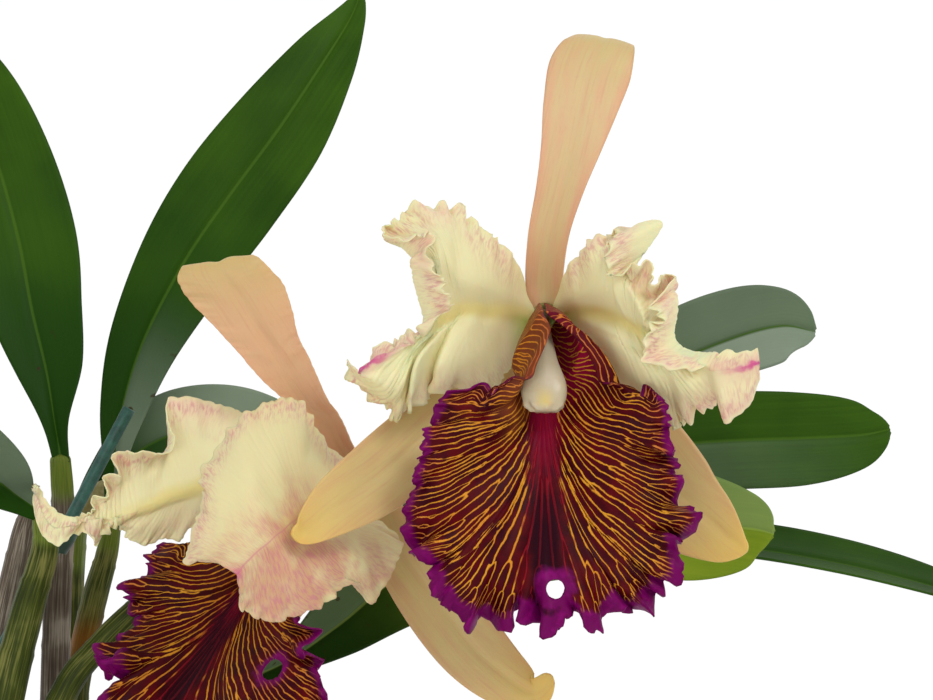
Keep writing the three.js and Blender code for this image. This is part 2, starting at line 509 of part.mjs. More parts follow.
        [[48.5, -49.5, 345.5], [53, -50.5, 346.5], [57.5, -50.5, 347], [62, -51, 348],
         [66.5, -50.5, 348.5], [71, -50.5, 349], [75.5, -49.5, 350]],
        [[49.5, -48.5, 350], [53, -49.5, 350.5], [57, -49.5, 351], [60.5, -50, 351.5],
         [64, -49.5, 352.5], [67.5, -49.5, 353], [71, -48.5, 353.5]],
        [[50, -43, 349.5], [53.5, -43.5, 350], [56.5, -44, 350.5], [60, -44, 351],
         [63, -44, 352], [66, -43.5, 352.5], [69.5, -43, 353]],
        [[52.5, -37, 348], [54.5, -37, 348.5], [57, -37, 349], [59, -37, 349],
         [61, -37, 349.5], [63.5, -37, 350], [65.5, -37, 350.5]],
        [[57.5, -35, 348.5], [58, -35, 348.5], [58, -35, 349], [58.5, -35, 349],
         [59, -35, 349], [59.5, -35, 349], [60, -35, 349]],
      ] },
      sepal_left: { face: [-0.5, -0.8, -0.2], look: 'apricotSepal', stations: [
        [104.5, -28.4, 284, 2.2, 2.2, 0, 0, 0], [97, -24.5, 275, 6, 4.6, 0, 20, 20],
        [85, -20, 259, 10, 10, 0, 20, 20], [73, -17, 245, 10.6, 10.6, 0, 10, 10],
        [63, -15, 233, 8.4, 8.4, 0, 6, 6], [56, -14, 224.5, 1.8, 1.8, 0, 0, 0]] },
      sepal_right: { face: [0.1, -1, 0.1], look: 'goldSepal', stations: [
        [105, -29.4, 284, 2.2, 2.2, 0, 0, 0], [109, -32, 275, 6.2, 4.4, 0, 20, 20],
        [116, -36, 262, 9.8, 9.4, 0, 22, 22], [126.5, -40, 248, 11, 11.4, 0, 14, 14],
        [137, -44, 235, 10.4, 10.9, 0, 4, 4], [147, -48, 226.5, 8, 9, 0, -10, -10],
        [155, -50, 222.5, 5, 6, 0, -20, -20], [160.5, -51, 227.5, 1.8, 1.8, 0, 0, 0]] },
      petal_right: { look: 'creamPetal', rows: [
        [[103.5, -36, 287], [103.5, -36.5, 286.5], [104, -37, 285], [104, -37, 284],
         [104, -37, 283.5], [104.5, -36.5, 282], [104.5, -36, 281]],
        [[99, -44, 291.5], [100, -47, 289.5], [100.5, -49, 287.5], [101, -50, 285],
         [102, -49, 281.5], [103, -47, 278.5], [105, -44, 275.5]],
        [[94.5, -48, 295], [94.5, -54, 291.5], [94.5, -58, 287.5], [95.5, -60, 283],
         [98, -58, 278], [102.5, -54, 275], [109.5, -48, 273]],
        [[89, -46, 302.5], [89, -56, 296], [89.5, -64, 290], [91.5, -66, 281],
         [97, -64, 276], [104, -58, 271.5], [115.5, -50, 267.5]],
        [[86, -50, 309], [86.5, -62, 299.5], [86.5, -70, 291], [90, -72, 279.5],
         [96, -70, 274], [103, -64, 268], [114.5, -54, 262.5]],
        [[82.5, -54, 310.5], [82.5, -66, 301.5], [83.5, -75, 291.5], [88, -77, 278.5],
         [94.5, -75, 272], [102, -70, 265.5], [110.5, -58, 254.5]],
        [[77.5, -58, 310], [78, -70, 301], [81, -79, 291.5], [86.5, -81, 277],
         [93, -80, 269.5], [99, -75, 263], [106.5, -62, 250.5]],
        [[73, -62, 308], [74, -74, 299.5], [78, -83, 289.5], [84.5, -85, 275.5],
         [91.5, -84, 268], [96.5, -80, 261.5], [103, -68, 257.5]],
        [[69, -66, 305], [71, -78, 297], [75.5, -87, 287.5], [83, -89, 274],
         [89, -88, 266], [93.5, -84, 260], [98.5, -76, 255.5]],
        [[64, -70, 298.5], [67.5, -81, 292.5], [73.5, -90, 284], [81.5, -92, 273],
         [86.5, -92, 264.5], [89.5, -88, 257.5], [94, -82, 252.5]],
        [[59, -76, 290.5], [64.5, -85, 286.5], [71.5, -92, 280], [79.5, -95, 271],
         [83, -95, 263], [85, -92, 256], [88, -86, 250.5]],
        [[60.5, -82, 284.5], [63.5, -89, 280.5], [70, -95, 276], [77.5, -98, 269.5],
         [80, -98, 262.5], [81, -95, 255.5], [83, -90, 249]],
        [[58.5, -87, 277], [62.5, -93, 274.5], [69, -98, 271.5], [75.5, -101, 267.5],
         [77, -101, 262], [77.5, -98, 256], [78, -94, 250]],
        [[57.5, -91, 270], [62, -97, 270.5], [68.5, -102, 268.5], [74, -104, 266],
         [75, -104, 261.5], [75, -101, 257], [74.5, -97, 252.5]],
        [[57.5, -95, 265.5], [63, -102, 268.5], [68.5, -106, 267.5], [73, -107, 264.5],
         [74, -107, 261.5], [73.5, -104, 258.5], [72.5, -100, 254.5]],
        [[63, -99, 266.5], [66, -103, 267.5], [69.5, -107, 266], [72.5, -108, 264],
         [73, -107, 261.5], [73.5, -105, 259.5], [73, -102, 257]],
      ] },
      petal_left: { look: 'creamPetal', rows: [
        [[98, -27, 288], [98, -27, 287.5], [98, -27, 286], [98, -27, 285],
         [98, -27, 283.5], [98, -27, 282], [98, -27, 281]],
        [[88.5, -23, 294.5], [88, -24, 291], [88, -25, 287.5], [87.5, -25, 284.5],
         [87.5, -25, 281], [86.5, -24, 277.5], [86.5, -23, 274]],
        [[78.5, -23, 300], [77.5, -25, 294.5], [77, -27, 289.5], [76.5, -28, 284],
         [76, -28, 280], [74.5, -26, 275.5], [73.5, -24, 271]],
        [[71, -24, 303.5], [69.5, -26, 297.5], [68, -30, 291], [67, -32, 283.5],
         [66.5, -31, 279], [65.5, -29, 274.5], [64, -27, 269.5]],
        [[64, -24, 306], [62.5, -27, 299.5], [61, -31, 292], [59.5, -33, 283.5],
         [58, -32, 278.5], [56.5, -30, 274], [54.5, -28, 269.5]],
        [[58, -25, 308], [56, -28, 300.5], [55, -32, 292], [54, -34, 283],
         [53, -33, 278.5], [51.5, -31, 274], [49, -29, 269.5]],
        [[52, -26, 309.5], [51, -30, 301.5], [51, -33, 291.5], [50.5, -35, 282],
         [49, -34, 278], [47.5, -32, 273], [45.5, -30, 266]],
        [[47, -28, 310.5], [47.5, -31, 301], [48, -34, 290.5], [47.5, -36, 281],
         [45.5, -35, 277.5], [44.5, -34, 272.5], [42, -32, 266.5]],
        [[42, -30, 309.5], [44, -32, 300.5], [44.5, -35, 289.5], [44.5, -37, 280.5],
         [42.5, -36, 276.5], [41, -35, 271.5], [38, -33, 265.5]],
        [[44.5, -36, 302], [43.5, -34, 297.5], [42, -36, 287.5], [41.5, -38, 279],
         [40, -37, 275.5], [37.5, -36, 270.5], [35.5, -34, 265]],
        [[45, -40, 295], [41.5, -37, 292.5], [39.5, -38, 285], [38.5, -39, 277.5],
         [37, -38, 274], [35, -38, 270.5], [32.5, -36, 266.5]],
        [[41, -43, 292.5], [38, -38, 290], [37, -39, 284], [35.5, -40, 276.5],
         [34, -39, 273.5], [32.5, -39, 270.5], [30.5, -37, 267.5]],
        [[37, -44, 295.5], [35, -40, 291], [33.5, -40, 283], [33, -41, 275.5],
         [31.5, -40, 273], [30.5, -40, 271.5], [29.5, -38, 269.5]],
        [[31.5, -44, 294], [31.5, -41, 288.5], [30.5, -41, 281.5], [29.5, -42, 274],
         [29, -42, 273.5], [29, -42, 272.5], [28.5, -41, 272]],
        [[29, -45, 289.5], [29, -42, 284.5], [28, -42, 279], [27, -43, 273.5],
         [26, -43, 273], [26, -43, 272], [25.5, -43, 271]],
        [[26.5, -46, 285.5], [26, -43, 281.5], [25.5, -43, 277.5], [24.5, -44, 274],
         [24.5, -44, 271.5], [24.5, -44, 269], [24.5, -43, 267]],
        [[24.5, -46, 281], [23.5, -44, 278.5], [23, -44, 276], [22.5, -45, 273.5],
         [22.5, -45, 271], [22.5, -44, 268.5], [22.5, -44, 266]],
        [[21, -46, 276.5], [20.5, -45, 275.5], [20, -45, 274], [20, -45, 273],
         [19.5, -45, 271.5], [19.5, -45, 270], [20, -45, 268.5]],
        [[17.5, -46, 274.5], [17.5, -46, 273.5], [17, -46, 273], [17, -46, 272],
         [16.5, -46, 270.5], [16, -46, 269.5], [16, -46, 269]],
        [[13.5, -47, 275.5], [12.5, -47, 274.5], [12, -47, 273], [11.5, -47, 271.5],
         [11, -47, 270], [11, -47, 268.5], [11.5, -47, 266]],
        [[9.5, -47, 278], [8.5, -47, 277.5], [8, -48, 276.5], [7.5, -48, 275.5],
         [7, -48, 274], [6.5, -48, 272.5], [7, -48, 270]],
        [[6.5, -48, 283.5], [6, -48, 283], [5.5, -48, 282.5], [5.5, -48, 282],
         [5, -48, 281], [5, -48, 280], [4.5, -48, 278.5]],
        [[6, -48, 284], [6, -48, 284], [5.5, -48, 283.5], [5.5, -48, 283.5],
         [5.5, -48, 283.5], [5.5, -48, 283], [5, -48, 283]],
      ] },
    },
  },
};

// ---------------------------------------------------------------- lips and columns
// The lip's tube, from the base to the mouth: height and depth of each ring's centre, its
// radius, how far each side wraps up round the column (degrees) and how far its top leans out.
const tubeRings = [
  [-1, 3.4, 4.5, 140, 0],
  [-3, 9, 6, 158, 0.6],
  [-5.5, 14, 8, 166, 1.6],
  [-8, 19, 9.6, 171, 3],
  [-10, 23.5, 10.6, 175, 4.5],
];
const TUBE_SHARE = 0.28;
// How far the apron reaches from the throat, from the left shoulder round to the right.
const apronReach = [
  [30], [31.5], [35], [41], [46.5], [52], [57.5], [62], [63.5], [61],
  [62.5], [62.5], [59.5], [55.5], [50.5], [43], [38.5], [33], [29],
];
const APRON = { halfAngle: 100, throatHeight: -27, depth: 32, bulge: 12, frill: 3.4, waves: 9 };
const ROLL = { from: 0.62, peak: 0.24, width: 0.2, inward: 9, forward: 3.5 };
const FLARE = { outward: 2.5, back: 2 };

function smoothStep(low, high, value) {
  const t = Math.min(Math.max((value - low) / (high - low), 0), 1);
  return t * t * (3 - 2 * t);
}

// The point of the lip at `along` (0 base, 1 edge) and `across` (-1 left, 1 right), as
// distances to the right, up and toward the face.
function lipPoint(along, across, { sway, reach: share }) {
  const ring = Math.min(along / TUBE_SHARE, 1);
  const [height, depth, radius, wrapDegrees, lean] = track(tubeRings, ring);
  const wrap = THREE.MathUtils.degToRad(wrapDegrees * across);
  const drift = smoothStep(0, 1, ring);
  const start = new THREE.Vector3(
    radius * Math.sin(wrap) + sway[0] * drift,
    height - radius * Math.cos(wrap) + sway[1] * drift,
    (depth - lean * Math.cos(wrap)) * share);
  if (along <= TUBE_SHARE) return start;
  const t = (along - TUBE_SHARE) / (1 - TUBE_SHARE);
  const angle = THREE.MathUtils.degToRad(APRON.halfAngle * across);
  const [reach] = track(apronReach, (across + 1) / 2);
  const edge = new THREE.Vector3(
    reach * Math.sin(angle) + sway[0],
    APRON.throatHeight - reach * Math.cos(angle) + sway[1],
    (APRON.depth + APRON.bulge * Math.cos(angle / 2) ** 4) * share);
  const span = start.distanceTo(edge);
  const leave = new THREE.Vector3(
    0.25 * Math.sin(angle), -0.8, 0.55 * Math.cos(angle) ** 2).multiplyScalar(span);
  const arrive = new THREE.Vector3(Math.sin(angle), -Math.cos(angle), -0.3).multiplyScalar(span);
  const square = t * t;
  const cube = square * t;
  const point = start.multiplyScalar(2 * cube - 3 * square + 1)
    .addScaledVector(leave, cube - 2 * square + t)
    .addScaledVector(edge, 3 * square - 2 * cube)
    .addScaledVector(arrive, cube - square);
  const side = smoothStep(ROLL.from, 1, Math.abs(across))
    * Math.exp(-(((t - ROLL.peak) / ROLL.width) ** 2)) * smoothStep(0, 0.1, t);
  if (across < 0) {
    point.x += ROLL.inward * side;
    point.z += ROLL.forward * side;
  } else {
    point.x += FLARE.outward * side;
    point.z -= FLARE.back * side;
  }
  point.z += APRON.frill * square * Math.sin(APRON.waves * angle + 0.8);
  return point;
}

function lipAxes(frame) {
  const right = vector(frame.right).normalize();
  const up = vector(frame.up).normalize();
  return { right, up, face: new THREE.Vector3().crossVectors(right, up) };
}

function inLipFrame(frame, local) {
  const { right, up, face } = lipAxes(frame);
  return vector(frame.origin)
    .addScaledVector(right, local.x)
    .addScaledVector(up, local.y)
    .addScaledVector(face, local.z);
}

function lipGeometry(frame, lengthSteps, widthSteps) {
  const grid = [];
  for (let i = 0; i <= lengthSteps; i += 1) {
    const line = [];
    for (let j = 0; j <= widthSteps; j += 1) {
      const local = lipPoint(i / lengthSteps, (2 * j) / widthSteps - 1, frame);
      line.push(inLipFrame(frame, local));
    }
    grid.push(line);
  }
  return thickSheet(grid, LIP_THICKNESS);
}

// The column, in the lip's frame: right, up, toward the face, half width, half depth.
const columnStations = [
  [0, -0.5, 3.6, 2.8, 2.6], [0, -3, 11, 3, 2.7], [0, -7, 18.5, 3.6, 2.9],
  [0, -13.5, 25, 4.8, 3], [0, -21, 29.5, 6, 3.1], [0, -28, 32, 5.2, 2.6],
];

function columnGeometry(frame, grow) {
  const last = columnStations.length - 1;
  const stations = columnStations.map(([x, y, z, halfWidth, halfDepth], k) => {
    const drift = smoothStep(0, 1, k / last);
    const local = new THREE.Vector3(
      x + frame.sway[0] * drift, y + frame.sway[1] * drift, z * frame.reach);
    return [...inLipFrame(frame, local).toArray(), halfWidth, halfDepth];
  });
  return limb(stations, lipAxes(frame).face.toArray(), { sides: 10, steps: 7, grow });
}

// ---------------------------------------------------------------- flower stem
const RECEPTACLE = { back: 9, front: 3, radius: 3.6 };
const mainStalk = [
  [-3, 58.8, 267, 2.2, 2.2], [1, 57, 273, 2.5, 2.5], [14, 52, 278, 2.5, 2.5],
  [36, 43, 280, 2.5, 2.5], [64, 28, 282.5, 2.5, 2.5], [92, 11, 286.5, 2.6, 2.6],
  [110, 2, 291, 2.4, 2.4], [128, -8, 304, 2.3, 2.3], [146, -22, 321, 2.6, 2.6],
  [156, -34, 332.5, 3.2, 3.2], [158.6, -42, 335.4, 3.4, 3.4],
];
const sideStalk = [
  [100, 7, 288, 2.2, 2.2], [107, -2, 290, 2.3, 2.3], [111, -12, 290.5, 2.4, 2.4],
  [110.5, -19.5, 287.6, 2.8, 2.8], [107.2, -26.3, 283.8, 3.4, 3.4],
];

function receptacle(bloom, grow) {
  const centre = vector(bloom.centre);
  const facing = vector(bloom.facing).normalize();
  const back = centre.clone().addScaledVector(facing, -RECEPTACLE.back);
  const front = centre.clone().addScaledVector(facing, RECEPTACLE.front);
  const rows = [back, centre, front].map((point) => [
    point.x, point.y, point.z, RECEPTACLE.radius, RECEPTACLE.radius]);
  return limb(rows, [0.1, 0.1, 1], { sides: 10, steps: 2, grow });
}

// ---------------------------------------------------------------- pot and potting mix
function potProfile() {
  const { height, footRadius, rimRadius, wall, rimHeight, rimStep } = POT;
  const neck = rimRadius - rimStep;
  const rimFoot = height - rimHeight;
  return [
    [0, 0], [footRadius - 1.5, 0], [footRadius, 1.5], [neck - 1, rimFoot],
    [rimRadius - 1, rimFoot], [rimRadius, rimFoot + 2], [rimRadius, height - 2],
    [rimRadius - 2, height], [rimRadius - wall + 1.5, height], [rimRadius - wall, height - 1.5],
    [neck - wall, rimFoot], [footRadius - wall + 2, wall], [0, wall],
  ];
}

function potGeometry() {
  const drains = [];
  for (let k = 0; k < DRAIN.count; k += 1) {
    const angle = (2 * Math.PI * (k + 0.5)) / DRAIN.count;
    const drain = new THREE.CylinderGeometry(DRAIN.radius, DRAIN.radius, 4 * POT.wall, 16);
    drain.rotateX(Math.PI / 2);
    drain.translate(DRAIN.ring * Math.cos(angle), DRAIN.ring * Math.sin(angle), 0);
    drains.push(solidOf(drain));
  }
  return without(turned(potProfile(), 36), drains);
}

function mixProfile() {
  const { height, footRadius, rimRadius, wall, rimHeight, rimStep } = POT;
  const neck = rimRadius - rimStep;
  const rimFoot = height - rimHeight;
  const share = (MIX.top - rimFoot) / (height - 1.5 - rimFoot);
  const innerAtTop = neck - wall + (rimRadius - wall - (neck - wall)) * share;
  return [
    [0, wall + SEAT_GAP], [footRadius - wall + 1.6, wall + SEAT_GAP], [neck - wall - SEAT_GAP, rimFoot],
    [innerAtTop - SEAT_GAP, MIX.top], [innerAtTop * 0.5, MIX.top + MIX.mound * 0.7],
    [0, MIX.top + MIX.mound],
  ];
}

// Bark chips lie on the mix, each sunk in by about half, at random angles.
function barkChips(avoid) {
  const random = randomSource(CHIPS.seed);
  const chips = [];
  let tries = 0;
  while (chips.length < CHIPS.count && tries < 4000) {
    tries += 1;
    const radius = CHIPS.spread * Math.sqrt(random());
    const angle = 2 * Math.PI * random();
    const x = radius * Math.cos(angle);
    const y = radius * Math.sin(angle);
    const turn = Math.PI * random();
    const tilt = 0.5 * (random() - 0.5);
    const roll = 0.5 * (random() - 0.5);
    const size = 0.7 + 0.5 * random();
    const clear = avoid.every(([ax, ay]) => Math.hypot(ax - x, ay - y) > CHIPS.clear);
    if (clear) {
      const chip = new THREE.BoxGeometry(
        CHIPS.length * size, CHIPS.width * size, CHIPS.height * size);
      chip.rotateX(tilt).rotateY(roll).rotateZ(turn);
      chip.translate(x, y, MIX.top + MIX.mound * (1 - radius / 76) + 0.6);
      chips.push(chip);
    }
  }
  return chips;
}

// The rhizome creeps over the mix and joins the feet of the canes; a few roots run from it.
const rhizomeRuns = [
  [[-46, 16, 131], [-38, 6, 131.5], [-31, -10, 131.5], [-25, -24, 131.5], [-22, -34, 131]],
  [[-31, -10, 131.5], [-14, -8, 131.5], [10, -11, 131.5], [37, -14, 131.5], [44, -16, 131]],
  [[-38, 6, 131.5], [-18, 12, 131.5], [-2, 16, 131.5], [26, 13, 131.5], [54, 16, 131.5],
    [61, 17, 131]],
  [[-2, 16, 131.5], [-6, 40, 131.5], [-2, 54, 131.5], [2, 62, 131.5]],
  [[-6, 40, 131.5], [14, 38, 131.5], [30, 42, 131.5], [37, 44, 131]],
];
const roots = [
  [[10, -11, 131], [13, -30, 132.5], [20, -46, 131], [24, -60, 124]],
  [[-24, -28, 131], [-32, -40, 132.5], [-34, -52, 130], [-38, -60, 122]],
  [[37, -14, 131], [52, -24, 132.5], [62, -34, 129], [64, -38, 122]],
  [[-38, 6, 131], [-48, 24, 132.5], [-52, 38, 130], [-52, 46, 122]],
  [[30, 42, 131], [44, 50, 131.5], [50, 52, 128], [54, 50, 121]],
];

function rhizomeSolid(grow) {
  const up = [0, 0, 1];
  const runs = rhizomeRuns.map((run) => limb(
    run.map((point) => [...point, 4.6, 4.2]), up, { sides: 6, steps: 2 * (run.length - 1), grow }));
  const threads = roots.map((run) => limb(
    run.map((point, k) => [...point, 2 - 0.25 * k, 2 - 0.25 * k]), up,
    { sides: 5, steps: 5, grow }));
  return joined([...runs, ...threads]);
}

// ---------------------------------------------------------------- assembly
const orchid = new THREE.Group();
orchid.name = 'cattleya_orchid';

function place(name, geometry, lookName) {
  const mesh = new THREE.Mesh(geometry, look(lookName));
  mesh.name = name;
  orchid.add(mesh);
}

place('pot', potGeometry(), 'clay');

// Canes stand on the rhizome, and the rhizome, roots, canes and stake sit in the mix.
const caneOptions = { sides: 8, steps: 7 };
const rhizome = rhizomeSolid(0);
const rhizomeRoom = rhizomeSolid(SEAT_GAP);
place('rhizome', geometryOf(rhizome), 'rhizome');
for (const [name, cane] of Object.entries(canes)) {
  const body = limb(cane.stations, [0.05, -1, 0], caneOptions);
  place(name, without(body, [rhizomeRoom]), cane.look);
}

const stakeStations = [
  [-71.4, -4, 122, STAKE_RADIUS, STAKE_RADIUS], [-22.8, -4, 214, STAKE_RADIUS, STAKE_RADIUS],
  [26, -4, 306, STAKE_RADIUS, STAKE_RADIUS],
];
place('stake', limb(stakeStations, CAMERA_SIDE, { sides: 8, steps: 2 }), 'stake');

const clipStations = [
  [2.3, -4, 260.8], [4.5, -4, 265], [6.7, -4, 269.1],
];
const clipBody = limb(clipStations.map((p) => [...p, 4.4, 4.4]), CAMERA_SIDE, { sides: 10, steps: 2 });
const stakeRoom = limb(stakeStations, CAMERA_SIDE, { sides: 8, steps: 2, grow: SEAT_GAP });
place('stem_clip', without(clipBody, [solidOf(stakeRoom)]), 'clip');

const caneFeet = Object.values(canes).map((cane) => cane.stations[0]);
const rhizomeMarks = [...rhizomeRuns, ...roots].flat();
const mixBody = joined([turned(mixProfile(), 32), ...barkChips([
  ...caneFeet, ...rhizomeMarks, [-68, -4], [-60, -4]])]);
const caneRooms = Object.values(canes).map((cane) => solidOf(
  limb(cane.stations, [0.05, -1, 0], { ...caneOptions, grow: SEAT_GAP })));
const mix = [rhizomeRoom, solidOf(stakeRoom), ...caneRooms]
  .reduce((left, room) => left.subtract(room), mixBody);
place('potting_mix', geometryOf(mix), 'bark');

for (const [name, leaf] of Object.entries(leaves)) {
  const options = { lengthSteps: 12, widthSteps: 4, thickness: LEAF_THICKNESS };
  place(name, without(blade(leaf.stations, leaf.face, options), caneRooms), leaf.look);
}

const receptacles = Object.values(blooms).map((bloom) => receptacle(bloom, 0));
const stalkOptions = { sides: 8, steps: 16 };
const stalks = joined([
  limb(mainStalk, [0.2, 0.1, 1], stalkOptions),
  limb(sideStalk, [0.1, 0.1, 1], { sides: 8, steps: 6 }),
  ...receptacles,
]);
place('flower_stem', geometryOf(stalks), 'stem');

const sheathStations = [
  [-2.8, 54.8, 266.6, 3.2, 3.2, 0, 50, 50], [1.5, 53, 271, 6.8, 6.8, 0, 100, 100],
  [14, 48.6, 275.4, 7.6, 7.6, 0, 110, 110], [30, 42, 276.8, 7.6, 7.6, 0, 110, 110],
  [46, 34.6, 278, 6, 6, 0, 90, 90], [58, 28, 279.4, 2, 2, 0, 30, 30],
];
const stalkRoom = solidOf(limb(mainStalk, [0.2, 0.1, 1], { ...stalkOptions, grow: SEAT_GAP }));
const sheath = blade(sheathStations, [0.3, 0.8, 0.5], {
  lengthSteps: 7, widthSteps: 4, thickness: 0.8 });
place('sheath', without(sheath, [stalkRoom, ...caneRooms]), 'sheath');

const sepalOptions = { lengthSteps: 12, widthSteps: 4, thickness: SEPAL_THICKNESS };
for (const [bloomName, bloom] of Object.entries(blooms)) {
  const seat = solidOf(receptacle(bloom, SEAT_GAP));
  for (const [pieceName, piece] of Object.entries(bloom.pieces)) {
    const isPetal = pieceName.startsWith('petal');
    const body = piece.rows
      ? foldedSheet(piece.rows, isPetal ? PETAL_THICKNESS : SEPAL_THICKNESS)
      : blade(piece.stations, piece.face, sepalOptions);
    place(`${bloomName}_${pieceName}`, without(body, [seat]), piece.look);
  }
  const columnRoom = solidOf(columnGeometry(bloom.lipFrame, SEAT_GAP));
  const lip = lipGeometry(bloom.lipFrame, 11, 24);
  place(`${bloomName}_lip`, without(lip, [seat, columnRoom]), 'maroonLip');
  const column = columnGeometry(bloom.lipFrame, 0);
  place(`${bloomName}_column`, without(column, [seat]), 'ivoryColumn');
}

export default orchid;
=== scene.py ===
# A cattleya orchid in a clay pot. The tables are in millimetres and the meshes in metres; only the
# folded sheets' points are given across and down the camera's view, with their depth in millimetres.
import math
import bpy
import numpy as np
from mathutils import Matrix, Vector


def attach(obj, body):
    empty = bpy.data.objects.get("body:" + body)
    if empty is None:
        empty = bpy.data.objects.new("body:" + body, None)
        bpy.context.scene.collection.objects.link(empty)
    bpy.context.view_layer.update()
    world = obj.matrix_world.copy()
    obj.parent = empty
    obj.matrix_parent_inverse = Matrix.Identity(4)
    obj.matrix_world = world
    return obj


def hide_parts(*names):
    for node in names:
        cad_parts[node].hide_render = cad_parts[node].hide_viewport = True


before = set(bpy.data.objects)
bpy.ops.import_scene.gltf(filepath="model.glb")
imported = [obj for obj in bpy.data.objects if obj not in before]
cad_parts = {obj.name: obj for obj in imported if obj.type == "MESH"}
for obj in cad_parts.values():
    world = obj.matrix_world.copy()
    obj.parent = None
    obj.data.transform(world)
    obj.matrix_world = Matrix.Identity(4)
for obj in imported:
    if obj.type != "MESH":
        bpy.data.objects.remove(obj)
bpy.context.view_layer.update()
fine = 1.0   # share of the full mesh density
# the eye's place in millimetres, the view's width, its middle across and down, and the distance in
# millimetres at which one unit across or down the view is one millimetre
viewSettings = {"eye": (135, -650, 325), "width": 933, "middle": (466.5, 350), "reach": 2000}
print("frame loaded")


def unit(v):
    # a vector over its own length
    return v / np.maximum(np.linalg.norm(v, axis=-1, keepdims=True), 1e-9)


def steps(count):
    # how many rows a mesh gets at this density
    return max(4, int(count * fine))


def easeStep(low, high, value):
    # 3t^2 - 2t^3, with t the value's place between low and high
    t = np.clip((value - low) / (high - low), 0, 1)
    return t * t * (3 - 2 * t)


def trackRows(rows, u):
    # Catmull-Rom through evenly spaced rows: 0.5 (2b + (c-a)t + (2a-5b+4c-d)t^2 + (3b-3c+d-a)t^3)
    rows = np.asarray(rows, float)
    last = len(rows) - 1
    place = np.clip(np.asarray(u, float), 0, 1) * last
    index = np.minimum(place.astype(int), last - 1)
    t = (place - index)[..., None]
    b = rows[index]
    c = rows[index + 1]
    a = np.where((index > 0)[..., None], rows[np.maximum(index - 1, 0)], 2 * b - c)
    d = np.where((index + 2 <= last)[..., None], rows[np.minimum(index + 2, last)], 2 * c - b)
    return 0.5 * (2 * b + (c - a) * t + (2 * a - 5 * b + 4 * c - d) * t ** 2
                  + (3 * b - 3 * c + d - a) * t ** 3)


def seenPoints(places):
    # a place given across and down in the view, with its depth y: s = (y - eye y) / reach, then
    # x = eye x + (across - middle) s and z = eye z + (middle - down) s, to the nearest half millimetre
    across, down, y = np.moveaxis(np.asarray(places, float), -1, 0)
    eyeX, eyeY, eyeZ = viewSettings["eye"]
    middleAcross, middleDown = viewSettings["middle"]
    s = (y - eyeY) / viewSettings["reach"]
    points = np.stack([eyeX + (across - middleAcross) * s, y, eyeZ + (middleDown - down) * s], -1)
    return np.round(points * 2) / 2


def seenStrip(left, right, depth, bow, count=7):
    # each row runs straight from its left margin at v = 0 to its right one at v = 1, and its depth is
    # depth + bow (1 - (2v - 1)^2)
    v = (np.arange(count) / (count - 1))[:, None]
    left, right = np.array(left, float)[:, None], np.array(right, float)[:, None]
    flat = left + (right - left) * v
    y = np.array(depth)[:, None] + np.array(bow)[:, None] * (1 - (2 * v[:, 0] - 1) ** 2)
    return seenPoints(np.concatenate([flat, y[..., None]], -1))


def frameAlong(rows, u, facing, twist=0):
    # forward = P(u+h) - P(u-h); right = forward x facing, turned by the twist; face = right x forward
    point = trackRows(rows, u)[..., :3]
    ahead = trackRows(rows, np.minimum(u + 0.01, 1))[..., :3]
    behind = trackRows(rows, np.maximum(u - 0.01, 0))[..., :3]
    forward = unit(ahead - behind)
    right = unit(np.cross(forward, np.asarray(facing, float)))
    turn = np.radians(twist)[..., None] if np.ndim(twist) else math.radians(twist)
    right = right * np.cos(turn) + np.cross(forward, right) * np.sin(turn)
    return point, right, np.cross(right, forward)


def ripple(s, wavelength, seed, waves=6):
    # the mean of a few sines near one wavelength, each with its own phase, scaled to about -1..1
    draw = np.random.default_rng(seed)
    lengths = wavelength * draw.uniform(0.65, 1.5, waves)
    phases = draw.uniform(0, 2 * math.pi, waves)
    total = sum(np.sin(2 * math.pi * s / a + b) for a, b in zip(lengths, phases))
    return total / math.sqrt(waves) * 1.2


def gridNormals(grid):
    # the cross product of the two tangents at each point
    return unit(np.cross(np.gradient(grid, axis=1), np.gradient(grid, axis=0)))


def arcFrom(grid, axis, start):
    # running length along one way of the grid, from its start or its end
    step = np.linalg.norm(np.diff(grid, axis=axis), axis=-1)
    pad = [(0, 0), (0, 0)]
    pad[axis] = (1, 0)
    run = np.cumsum(np.pad(step, pad), axis=axis)
    return run if start else run.max(axis=axis, keepdims=True) - run


def stack(grid):
    # a grid's points as one list
    return grid.reshape(-1, grid.shape[-1])


